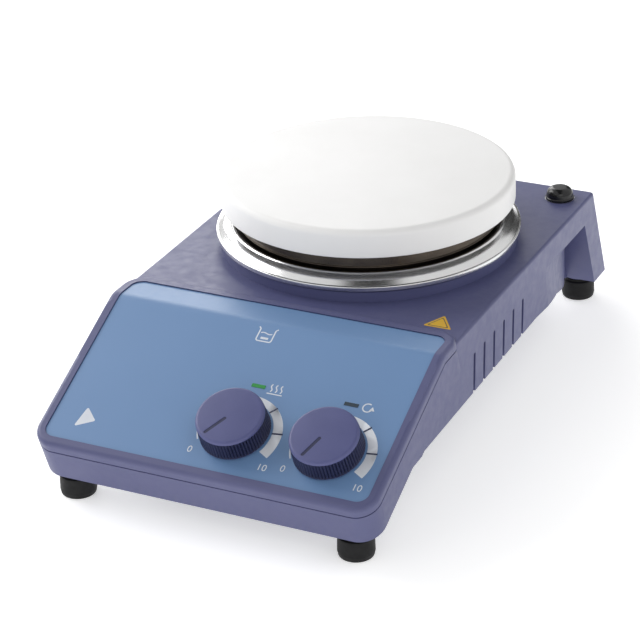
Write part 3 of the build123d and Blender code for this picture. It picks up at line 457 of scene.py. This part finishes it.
def centre_of(node):
    """Middle of a node's box, its lowest and highest z and half its width."""
    low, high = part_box(node)
    return Vector(((low.x + high.x) / 2, (low.y + high.y) / 2, 0)), low.z, high.z, (high.x - low.x) / 2


def bore_of(node, centre):
    """Smallest distance of a node's points from an upright axis."""
    return min(hypot(v.co.x - centre.x, v.co.y - centre.y) for v in frame["nodes"][node].data.vertices)


# ---------------------------------------------------------------- work plate, shield and drip ring

PLATE_SKIRT, PLATE_CROWN = 3 * MM, 6 * MM
SHEET = 0.8 * MM
RING_SWELL = 3.7 * MM
SHIELD_OVERHANG = 2 * MM
SHIELD_BEAD_DROP = 6.6 * MM


def make_work_plate():
    """White plate with a softly rounded rim and a hollow underside."""
    centre, low, high, radius = centre_of("hot_plate")
    outline = rounded([
        (0, high, 0),
        (radius, high, 3 * MM),
        (radius, low, 0.8 * MM),
        (radius - PLATE_SKIRT, low, 0.8 * MM),
        (radius - PLATE_SKIRT, high - PLATE_CROWN, 2 * MM),
        (0, high - PLATE_CROWN, 0),
    ], 10)
    bm = bmesh.new()
    lathe(bm, outline, centre, 240)
    finished("work_plate", bm, "white_ceramic", "base", ["hot_plate"])


def make_drip_ring():
    """Polished ring that swells up from its rolled rim to an upright inner wall."""
    centre, low, high, radius = centre_of("drip_ring")
    inner = bore_of("drip_ring", centre)
    rim = high - RING_SWELL
    outline = rounded([
        (inner, low, 0),
        (inner, high, 0.5 * MM),
        (inner + 1.3 * MM, high, 0.4 * MM),
        (inner + 2.0 * MM, high - 0.6 * MM, 1.5 * MM),
        (radius - 3.6 * MM, high - 1.5 * MM, 7 * MM),
        (radius - 0.9 * MM, rim, 0.8 * MM),
        (radius, rim - 0.1 * MM, 0.4 * MM),
        (radius, low + 0.2 * MM, 0.3 * MM),
        (radius - SHEET, low + 0.2 * MM, 0.2 * MM),
        (radius - SHEET, rim - 1.1 * MM, 0.5 * MM),
        (radius - 4.0 * MM, high - 2.5 * MM, 5 * MM),
        (inner + SHEET, high - 1.1 * MM, 0.5 * MM),
        (inner + SHEET, low, 0),
    ], 8)
    bm = bmesh.new()
    lathe(bm, outline, centre, 240)
    finished("drip_ring_polished", bm, "polished_steel", "base", ["drip_ring"])


def make_heat_shield():
    """Stainless drum under the plate, with a rolled bead just above the drip ring."""
    centre, low, high, flange = centre_of("heat_shield")
    radius = centre_of("insulation_disc")[3] + SHIELD_OVERHANG
    bead = high - SHIELD_BEAD_DROP
    outline = rounded([
        (0, high, 0),
        (radius, high, 1.5 * MM),
        (radius, bead + 1.0 * MM, 0.3 * MM),
        (radius + 0.8 * MM, bead + 0.5 * MM, 0.4 * MM),
        (radius, bead, 0.3 * MM),
        (radius, low + SHEET, 0.2 * MM),
        (flange, low + SHEET, 0),
        (flange, low, 0),
        (radius - SHEET, low, 0.3 * MM),
        (radius - SHEET, high - SHEET, 0.8 * MM),
        (0, high - SHEET, 0),
    ], 6)
    bm = bmesh.new()
    lathe(bm, outline, centre, 200)
    # The drum's very dark colour is partly painted shade from under the plate.
    finished("heat_shield_drum", bm, "shield_steel", "base", ["heat_shield"])


# ---------------------------------------------------------------- control panel

OVERLAY = frame["nodes"]["control_overlay"]
KNOBS = {"heat": joints["heat_knob_turn"], "stir": joints["stir_knob_turn"]}
NORMAL = Vector(KNOBS["heat"]["axis"]).normalized()
SLOPE = NORMAL.cross(Vector((1, 0, 0)))
POINTERS = {"heat": radians(238), "stir": radians(248)}
SCALE_START, SCALE_END = 208, -28
SCALE_STEP = 41
SCALE_LINES = [8 + SCALE_STEP * i for i in range(5)]
SCALE_INNER, SCALE_THIN, SCALE_THICK = 16.2 * MM, 16.7 * MM, 21.2 * MM
SCALE_ARC_STEPS = 12
NUMBER_SIZE = 4.6 * MM
SIGN_LINE = 0.55 * MM
MASK_END, MASK_SIDE, MASK_MARGIN = 0.8 * MM, 0.3 * MM, 0.15 * MM
DECK_DROP = 2.5 * MM
PRINT_HEIGHT = 0.04 * MM


def panel_matrix(name, height=0.0):
    """Frame on the panel at a knob's axis: x across, y up the slope, z out of the panel."""
    origin = Vector(KNOBS[name]["pos_m"]) + NORMAL * height
    turn = Matrix((Vector((1, 0, 0)), SLOPE, NORMAL)).transposed().to_4x4()
    return Matrix.Translation(origin) @ turn


def along_axis(node, name):
    """Lowest and highest reach of a node along a knob's axis, and its radius about it."""
    local = panel_matrix(name).inverted()
    points = [local @ v.co for v in frame["nodes"][node].data.vertices]
    heights = [p.z for p in points]
    return min(heights), max(heights), max(hypot(p.x, p.y) for p in points)


PANEL_TOP = max((v.co - Vector(KNOBS["heat"]["pos_m"])).dot(NORMAL) for v in OVERLAY.data.vertices)

RIBS = 68
RIB_SAMPLES = 8
RIB_DEPTH = 0.9 * MM
RIB_TAPER = 0.5 * MM
RIB_SHARPNESS = 1.5
KNOB_EDGE = 1.5 * MM
KNOB_FOOT = 0.35 * MM
EDGE_STEPS = 6
# Skirt steps that take the darker material, as painted shade on the ribs.
PAINTED_SHADE_STEPS = (2, 3, 4)
KNOB_WALL = 2.9 * MM
BOSS_RADIUS, BOSS_BORE, BOSS_RECESS = 5 * MM, 3 * MM, 5 * MM
GROOVE_START, GROOVE_END, GROOVE_HALF = 2.4 * MM, 12.4 * MM, 0.75 * MM
GROOVE_DEPTH = 0.45 * MM
PAINT_GAP = 0.01 * MM
PAINT_BELOW_TOP = 0.12 * MM


def make_knob(name):
    """Knob with a ribbed skirt, a rounded rim and a pointer groove in its flat top."""
    base, top, radius = along_axis(f"{name}_knob", name)
    turn = panel_matrix(name)
    rib_low, rib_high = base + 0.5 * MM, top - KNOB_EDGE - 0.1 * MM
    rings = [
        (base, KNOB_FOOT, 0.0),
        (base + KNOB_FOOT, 0.0, 0.0),
        (rib_low, 0.0, 0.0),
        (rib_low + 0.3 * MM, 0.0, 1.0),
        (rib_high - 0.5 * MM, RIB_TAPER - 0.05 * MM, 1.0),
        (rib_high, RIB_TAPER, 0.0),
    ]
    for k in range(1, EDGE_STEPS + 1):
        angle = pi / 2 * k / EDGE_STEPS
        inset = RIB_TAPER + KNOB_EDGE * (1 - cos(angle))
        rings.append((top - KNOB_EDGE + KNOB_EDGE * sin(angle), inset, 0.0))
    bm = bmesh.new()
    around = RIBS * RIB_SAMPLES
    loops = []
    for height, inset, ribbed in rings:
        loop = []
        for k in range(around):
            angle = 2 * pi * k / around
            wave = 0.5 - 0.5 * cos(2 * pi * k / RIB_SAMPLES)
            r = radius - inset - RIB_DEPTH * ribbed * wave**RIB_SHARPNESS
            loop.append(bm.verts.new((r * cos(angle), r * sin(angle), height)))
        loops.append(loop)
    for step, (below, above) in enumerate(zip(loops, loops[1:])):
        for k in range(around):
            j = (k + 1) % around
            face = bm.faces.new((below[k], below[j], above[j], above[k]))
            # The ribbed skirt faces get the darker material: painted shade.
            face.material_index = int(step in PAINTED_SHADE_STEPS)
    add_knob_top(bm, loops[-1], top, name)
    add_knob_underside(bm, loops[0], base, top, radius)
    bmesh.ops.transform(bm, matrix=turn, verts=bm.verts)
    body = f"{name}_knob"
    finished(f"{name}_knob_ribbed", bm, "knob_plastic knob_ribs", body, [body], 40)
    make_pointer_paint(name, top, turn)


def groove_outline(name, grow=0.0):
    """Outline of the pointer groove: a slot with round ends, along the pointer's direction."""
    half = GROOVE_HALF + grow
    points = []
    for middle, first in ((GROOVE_END, -90), (GROOVE_START, 90)):
        for k in range(9):
            angle = radians(first + 180 * k / 8)
            points.append(Vector((middle + half * cos(angle), half * sin(angle), 0)))
    return [Matrix.Rotation(POINTERS[name], 3, "Z") @ p for p in points]


def add_knob_top(bm, rim_loop, top, name):
    """Flat top with the pointer groove sunk into it."""
    upper = [bm.verts.new(p + Vector((0, 0, top))) for p in groove_outline(name)]
    lower = [bm.verts.new(p + Vector((0, 0, top - GROOVE_DEPTH))) for p in groove_outline(name)]
    edges = [bm.edges.new((a, b)) for a, b in zip(upper, upper[1:] + upper[:1])]
    edges += [bm.edges.get((a, b)) for a, b in zip(rim_loop, rim_loop[1:] + rim_loop[:1])]
    bmesh.ops.triangle_fill(bm, edges=edges, use_beauty=True)
    count = len(upper)
    for k in range(count):
        j = (k + 1) % count
        bm.faces.new((upper[k], upper[j], lower[j], lower[k]))
    bm.faces.new(lower)


def add_knob_underside(bm, bottom_loop, base, top, radius):
    """Hollow underside with a boss for the shaft."""
    steps = [
        (radius - KNOB_WALL, base),
        (radius - KNOB_WALL, top - KNOB_WALL),
        (BOSS_RADIUS, top - KNOB_WALL),
        (BOSS_RADIUS, base + BOSS_RECESS),
        (BOSS_BORE, base + BOSS_RECESS),
        (BOSS_BORE, top - KNOB_WALL + 0.3 * MM),
    ]
    previous = bottom_loop
    around = len(bottom_loop)
    for r, height in steps:
        loop = []
        for k in range(around):
            angle = 2 * pi * k / around
            loop.append(bm.verts.new((r * cos(angle), r * sin(angle), height)))
        for k in range(around):
            j = (k + 1) % around
            bm.faces.new((previous[k], previous[j], loop[j], loop[k]))
        previous = loop
    bm.faces.new(previous)


def make_pointer_paint(name, top, turn):
    """Dark paint that fills the bottom of the pointer groove."""
    bm = bmesh.new()
    outline = [p.to_2d() for p in groove_outline(name, -PAINT_GAP)]
    slab(bm, outline, top - GROOVE_DEPTH, top - PAINT_BELOW_TOP)
    bmesh.ops.transform(bm, matrix=turn, verts=bm.verts)
    finished(f"{name}_pointer_paint", bm, "knob_ribs", f"{name}_knob")


def slab(bm, outline, low, high):
    """Thin plate of a 2-D outline between two heights."""
    lower = [bm.verts.new((p[0], p[1], low)) for p in outline]
    upper = [bm.verts.new((p[0], p[1], high)) for p in outline]
    bm.faces.new(upper)
    bm.faces.new(lower[::-1])
    count = len(lower)
    for k in range(count):
        j = (k + 1) % count
        bm.faces.new((lower[k], lower[j], upper[j], upper[k]))


def stroke(bm, points, width, high=PRINT_HEIGHT):
    """Printed line of even width through 2-D points."""
    left, right = [], []
    points = [Vector(p) for p in points]
    for k, point in enumerate(points):
        before, after = points[max(k - 1, 0)], points[min(k + 1, len(points) - 1)]
        across = (after - before).normalized().orthogonal() * (width / 2)
        left.append(point + across)
        right.append(point - across)
    slab(bm, left + right[::-1], 0, high)


def arc_points(centre, radius, start, end, steps=24):
    """Points on an arc, in degrees."""
    points = []
    for k in range(steps + 1):
        angle = radians(start + (end - start) * k / steps)
        points.append((centre[0] + radius * cos(angle), centre[1] + radius * sin(angle)))
    return points


def make_scale(name):
    """White dial scale that widens clockwise, with dark lines between its segments."""

    def outer(angle):
        """Outer radius of the scale at an angle in degrees."""
        share = (SCALE_START - angle) / (SCALE_START - SCALE_END)
        return SCALE_THIN + (SCALE_THICK - SCALE_THIN) * share

    bm = bmesh.new()
    stops = [SCALE_END, *SCALE_LINES, SCALE_START]
    for first, last in zip(stops, stops[1:]):
        inside = arc_points((0, 0), SCALE_INNER, last, first, SCALE_ARC_STEPS)
        outside = []
        for k in range(SCALE_ARC_STEPS + 1):
            angle = first + (last - first) * k / SCALE_ARC_STEPS
            outside.append((outer(angle) * cos(radians(angle)), outer(angle) * sin(radians(angle))))
        slab(bm, inside + outside, 0, PRINT_HEIGHT)
    turn = panel_matrix(name, PANEL_TOP)
    bmesh.ops.transform(bm, matrix=turn, verts=bm.verts)
    finished(f"{name}_scale_print", bm, "print_white", "base")
    bm = bmesh.new()
    for angle in SCALE_LINES:
        way = Vector((cos(radians(angle)), sin(radians(angle))))
        ends = [way * (SCALE_INNER - 0.2 * MM), way * (outer(angle) + 0.35 * MM)]
        stroke(bm, ends, 0.75 * MM, 1.8 * PRINT_HEIGHT)
    bmesh.ops.transform(bm, matrix=turn, verts=bm.verts)
    finished(f"{name}_scale_lines", bm, "dark_print_and_painted_shade", "base")


def digits(text, size, place, turn, name):
    """Number printed on the panel, centred on a place."""
    curve = bpy.data.curves.new(name, "FONT")
    curve.body = text
    curve.size = size
    curve.extrude = PRINT_HEIGHT / 2
    curve.align_x = "CENTER"
    curve.align_y = "CENTER"
    source = bpy.data.objects.new(name, curve)
    bpy.context.scene.collection.objects.link(source)
    bpy.context.view_layer.update()
    mesh = bpy.data.meshes.new_from_object(source)
    bpy.data.objects.remove(source)
    bm = bmesh.new()
    bm.from_mesh(mesh)
    shift = Matrix.Translation((place[0], place[1], PRINT_HEIGHT / 2))
    bmesh.ops.transform(bm, matrix=turn @ shift, verts=bm.verts)
    finished(name, bm, "print_white", "base")


def make_dial_numbers():
    """Plain numbers at the ends of both scales."""
    for name in KNOBS:
        turn = panel_matrix(name, PANEL_TOP)
        digits("0", NUMBER_SIZE, (-15.6 * MM, -13.4 * MM), turn, f"{name}_number_low")
        digits("10", NUMBER_SIZE, (18.6 * MM, -15.0 * MM), turn, f"{name}_number_high")


def make_heat_sign():
    """Three rising wavy lines beside the heat lamp."""
    bm = bmesh.new()
    for k in range(3):
        x = 6.2 * MM + 2.3 * MM * k
        line = []
        for i in range(13):
            t = i / 12
            line.append((x + 0.45 * MM * sin(2 * pi * t), (22.6 + 3.9 * t) * MM))
        stroke(bm, line, SIGN_LINE)
    stroke(bm, [(5.0 * MM, 21.6 * MM), (12.1 * MM, 21.6 * MM)], SIGN_LINE)
    bmesh.ops.transform(bm, matrix=panel_matrix("heat", PANEL_TOP), verts=bm.verts)
    finished("heat_sign", bm, "print_white", "base")


def make_stir_sign():
    """Open circle with an arrow head beside the stir lamp."""
    bm = bmesh.new()
    middle = (7.6 * MM, 24.2 * MM)
    stroke(bm, arc_points(middle, 2.1 * MM, 60, 350, 28), SIGN_LINE)
    tip = [(1.0, -1.2), (3.4, -1.1), (2.1, 0.9)]
    slab(bm, [(middle[0] + x * MM, middle[1] + y * MM) for x, y in tip], 0, PRINT_HEIGHT)
    bmesh.ops.transform(bm, matrix=panel_matrix("stir", PANEL_TOP), verts=bm.verts)
    finished("stir_sign", bm, "print_white", "base")


def make_panel_sign():
    """Plain beaker with a stirring bar, in the upper middle of the panel."""
    bm = bmesh.new()
    x, y = -11.5 * MM, 47.2 * MM
    width, height, line = 7.2 * MM, 7.4 * MM, 0.6 * MM
    outline = [(x - 0.9 * MM, y + height), (x, y + height - 0.9 * MM)]
    outline += arc_points((x + 1.0 * MM, y + 1.0 * MM), 1.0 * MM, 180, 270, 6)
    outline += arc_points((x + width - 1.0 * MM, y + 1.0 * MM), 1.0 * MM, 270, 360, 6)
    outline += [(x + width, y + height - 0.9 * MM), (x + width + 0.9 * MM, y + height)]
    stroke(bm, outline, line)
    stroke(bm, [(x + 1.8 * MM, y + 1.7 * MM), (x + width - 1.8 * MM, y + 1.7 * MM)], 1.1 * MM)
    level = []
    for k in range(13):
        t = k / 12
        level.append((x + 0.9 * MM + (width - 1.8 * MM) * t, y + 4.4 * MM + 0.35 * MM * sin(2 * pi * t)))
    stroke(bm, level, 0.5 * MM)
    bmesh.ops.transform(bm, matrix=panel_matrix("heat", PANEL_TOP), verts=bm.verts)
    finished("panel_sign", bm, "print_white", "base")


def make_lamp_mask(name):
    """Printed edge that leaves a small clear window over a lamp."""
    local = panel_matrix(name, PANEL_TOP).inverted()
    points = [local @ v.co for v in frame["nodes"][f"{name}_lamp"].data.vertices]
    x0, x1 = min(p.x for p in points), max(p.x for p in points)
    y0, y1 = min(p.y for p in points), max(p.y for p in points)
    x2, x3 = x0 + MASK_END, x1 - MASK_END
    y2, y3 = y0 + MASK_SIDE, y1 - MASK_SIDE
    x0, x1, y0, y1 = x0 - MASK_MARGIN, x1 + MASK_MARGIN, y0 - MASK_MARGIN, y1 + MASK_MARGIN
    bm = bmesh.new()
    for left, right, bottom, top in ((x0, x1, y0, y2), (x0, x1, y3, y1), (x0, x2, y2, y3), (x3, x1, y2, y3)):
        slab(bm, [(left, bottom), (right, bottom), (right, top), (left, top)], 0, PRINT_HEIGHT)
    bmesh.ops.transform(bm, matrix=panel_matrix(name, PANEL_TOP), verts=bm.verts)
    finished(f"{name}_lamp_mask", bm, "overlay_blue", "base")


def triangle(corners, radius, inset=0.0):
    """Rounded triangle outline, moved in on all sides by inset."""
    points = [Vector(c) for c in corners]
    shrunk = []
    for i, point in enumerate(points):
        before = (points[i - 1] - point).normalized()
        after = (points[(i + 1) % 3] - point).normalized()
        half = before.angle(after) / 2
        shrunk.append(point + (before + after).normalized() * (inset / sin(half)))
    return rounded([(p.x, p.y, radius) for p in shrunk], 5)


def make_panel_triangle():
    """Plain white triangle at the left of the panel."""
    x0, y0 = -71.2 * MM, -14.3 * MM
    corners = [(x0, y0), (x0 + 8.5 * MM, y0 + 4.8 * MM), (x0 + 2.0 * MM, y0 + 10.9 * MM)]
    turn = panel_matrix("heat", PANEL_TOP)
    bm = bmesh.new()
    slab(bm, triangle(corners, 0.6 * MM), 0, PRINT_HEIGHT)
    bmesh.ops.transform(bm, matrix=turn, verts=bm.verts)
    finished("panel_triangle", bm, "print_white", "base")


def make_deck_triangle():
    """Plain yellow triangle sticker on the deck, with a dark line inside its edge."""
    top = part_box("rod_socket")[1].z - DECK_DROP
    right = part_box("top_housing")[1].x
    corners = [
        (right - 20.9 * MM, -40.6 * MM),
        (right - 7.9 * MM, -40.4 * MM),
        (right - 15.5 * MM, -29.1 * MM),
    ]
    layers = (
        (0.0, "sticker_yellow", 0.00, 0.08),
        (0.9, "dark_print_and_painted_shade", 0.08, 0.10),
        (1.25, "sticker_yellow", 0.10, 0.12),
    )
    for inset, material, low, high in layers:
        bm = bmesh.new()
        slab(bm, triangle(corners, 0.5 * MM, inset * MM), top + low * MM, top + high * MM)
        label = f"deck_triangle_{round(inset * 100)}"
        finished(label, bm, material, "base")


# ---------------------------------------------------------------- rubber parts

FOOT_BORE, FOOT_RECESS, FOOT_RECESS_DEPTH = 2.2 * MM, 4.5 * MM, 4.5 * MM
CAP_BORE, CAP_BORE_DEPTH = 5.9 * MM, 3.0 * MM


def make_foot(node):
    """Rubber foot: a narrower neck under the housing, a rounded sole and a countersunk bore."""
    centre, low, high, radius = centre_of(node)
    outline = rounded([
        (FOOT_BORE, high, 0),
        (radius - 1.2 * MM, high, 0.3 * MM),
        (radius - 1.2 * MM, high - 1.3 * MM, 0.3 * MM),
        (radius - 0.2 * MM, high - 1.5 * MM, 0.5 * MM),
        (radius, low + 2.4 * MM, 0.8 * MM),
        (radius - 0.5 * MM, low, 0.9 * MM),
        (FOOT_RECESS, low, 0.5 * MM),
        (FOOT_RECESS, low + FOOT_RECESS_DEPTH, 0.3 * MM),
        (FOOT_BORE, low + FOOT_RECESS_DEPTH, 0),
    ], 6)
    bm = bmesh.new()
    lathe(bm, outline, centre, 96)
    finished(f"{node}_rubber", bm, "black_rubber", "base", [node])


def make_socket_cap():
    """Glossy rubber dome over the rod socket, with a thin lip at its foot."""
    centre, low, high, radius = centre_of("socket_cap")
    outline = rounded([
        (0, high, 0),
        (radius - 0.9 * MM, high, 3.4 * MM),
        (radius - 0.4 * MM, low + 1.3 * MM, 0.6 * MM),
        (radius, low + 1.0 * MM, 0.3 * MM),
        (radius, low, 0.2 * MM),
        (CAP_BORE, low, 0),
        (CAP_BORE, low + CAP_BORE_DEPTH, 0.3 * MM),
        (0, low + CAP_BORE_DEPTH, 0),
    ], 10)
    bm = bmesh.new()
    lathe(bm, outline, centre, 96)
    finished("socket_cap_dome", bm, "cap_rubber", "socket_cap", ["socket_cap"])


# ---------------------------------------------------------------- rear panel

CROSS_LONG, CROSS_THIN = 1.5 * MM, 0.35 * MM


def make_screw_recess_shade():
    """Painted shade for the cross recesses: thin dark crosses on the two heads of the inlet's screws."""
    low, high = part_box("inlet_screws")
    radius = (high.z - low.z) / 2
    bm = bmesh.new()
    for x in (low.x + radius, high.x - radius):
        centre = Vector((x, (low.z + high.z) / 2))
        for across, up in ((CROSS_LONG, CROSS_THIN), (CROSS_THIN, CROSS_LONG)):
            sides = ((-across, -up), (across, -up), (across, up), (-across, up))
            slab(bm, [centre + Vector(side) for side in sides], 0, PRINT_HEIGHT)
    turn = Matrix(((1, 0, 0, 0), (0, 0, 1, high.y), (0, 1, 0, 0), (0, 0, 0, 1)))
    bmesh.ops.transform(bm, matrix=turn, verts=bm.verts)
    finished("inlet_screw_recess_shade", bm, "dark_print_and_painted_shade", "base")


# ---------------------------------------------------------------- stage

ROOM_LIGHT = 0.74
DARK_SHARE = 0.05
FLOOR_GLOW = 0.47
FLOOR_HALF = 6
AIM_HEIGHT = 0.04


def make_stage():
    """White floor and soft studio light."""
    bm = bmesh.new()
    bmesh.ops.create_grid(bm, x_segments=2, y_segments=2, size=FLOOR_HALF)
    mesh = bpy.data.meshes.new("floor")
    bm.to_mesh(mesh)
    bm.free()
    floor = bpy.data.objects.new("floor", mesh)
    bpy.context.scene.collection.objects.link(floor)
    s = Surface("floor_white", 0.9)
    s.color((0.93, 0.93, 0.93), (0.94, 0.94, 0.94), 3)
    s.set("Emission Color", (1, 1, 1, 1))
    s.set("Emission Strength", FLOOR_GLOW)
    mesh.materials.append(s.material)
    make_world()
    area_light("key", (0.7, -0.9, 0.9), 0.7, 0.9)
    area_light("left", (-1.1, 0.1, 0.8), 0.8, 8)
    area_light("back", (-0.9, 1.1, 0.75), 0.8, 6)


def make_world():
    """Soft white room with a dark gap overhead between two bright halves, and one dark patch behind."""
    world = bpy.data.worlds.new("world")
    world.use_nodes = True
    bpy.context.scene.world = world
    tree = world.node_tree
    background = tree.nodes["Background"]
    background.inputs["Color"].default_value = (1, 1, 1, 1)
    where = tree.nodes.new("ShaderNodeTexCoord").outputs["Generated"]

    def along(direction):
        """How far each direction of the room lies along a given one."""
        dot = tree.nodes.new("ShaderNodeVectorMath")
        dot.operation = "DOT_PRODUCT"
        dot.inputs[1].default_value = Vector(direction).normalized()
        tree.links.new(where, dot.inputs[0])
        return dot.outputs["Value"]

    def smooth(value, first, last, low, high):
        """Ease a value from one level to another."""
        level = tree.nodes.new("ShaderNodeMapRange")
        level.interpolation_type = "SMOOTHSTEP"
        for key, number in (("From Min", first), ("From Max", last), ("To Min", low), ("To Max", high)):
            level.inputs[key].default_value = number
        tree.links.new(value, level.inputs["Value"])
        return level.outputs["Result"]

    def combine(operation, first, second=None):
        """One maths step on one or two values."""
        step = tree.nodes.new("ShaderNodeMath")
        step.operation = operation
        tree.links.new(first, step.inputs[0])
        if second is not None:
            tree.links.new(second, step.inputs[1])
        return step.outputs[0]

    sideways = combine("ABSOLUTE", along((0.896, 0.444, 0)))
    overhead = smooth(along((0, 0, 1)), 0.60, 0.80, 0, 1)
    gap = combine("MULTIPLY", smooth(sideways, 0.10, 0.30, 1, 0), overhead)
    patch = smooth(along((-0.02, 0.96, 0.27)), 0.950, 0.975, 0, 1)
    level = smooth(combine("MAXIMUM", gap, patch), 0, 1, ROOM_LIGHT, DARK_SHARE * ROOM_LIGHT)
    tree.links.new(level, background.inputs["Strength"])


def area_light(name, place, size, power):
    """Square soft light aimed at the object."""
    data = bpy.data.lights.new(name, "AREA")
    data.size = size
    data.energy = power
    lamp_object = bpy.data.objects.new(name, data)
    lamp_object.location = place
    aim = Vector((0, 0, AIM_HEIGHT)) - Vector(place)
    lamp_object.rotation_euler = aim.to_track_quat("-Z", "Y").to_euler()
    bpy.context.scene.collection.objects.link(lamp_object)


# ---------------------------------------------------------------- making

make_camera()
make_stage()
MATERIALS = make_materials(centre_of("hot_plate")[0])
for part in record["subparts"]:
    node = frame["nodes"][part["node"]]
    node.data.materials.clear()
    node.data.materials.append(MATERIALS[part["material_slot"]])

make_work_plate()
make_drip_ring()
make_heat_shield()
for knob in KNOBS:
    make_knob(knob)
    make_scale(knob)
    make_lamp_mask(knob)
make_dial_numbers()
make_heat_sign()
make_stir_sign()
make_panel_sign()
make_panel_triangle()
make_deck_triangle()
for corner in ("front_left", "front_right", "rear_left", "rear_right"):
    make_foot(f"foot_{corner}")
make_socket_cap()
make_screw_recess_shade()

bpy.context.scene.view_settings.view_transform = "Standard"
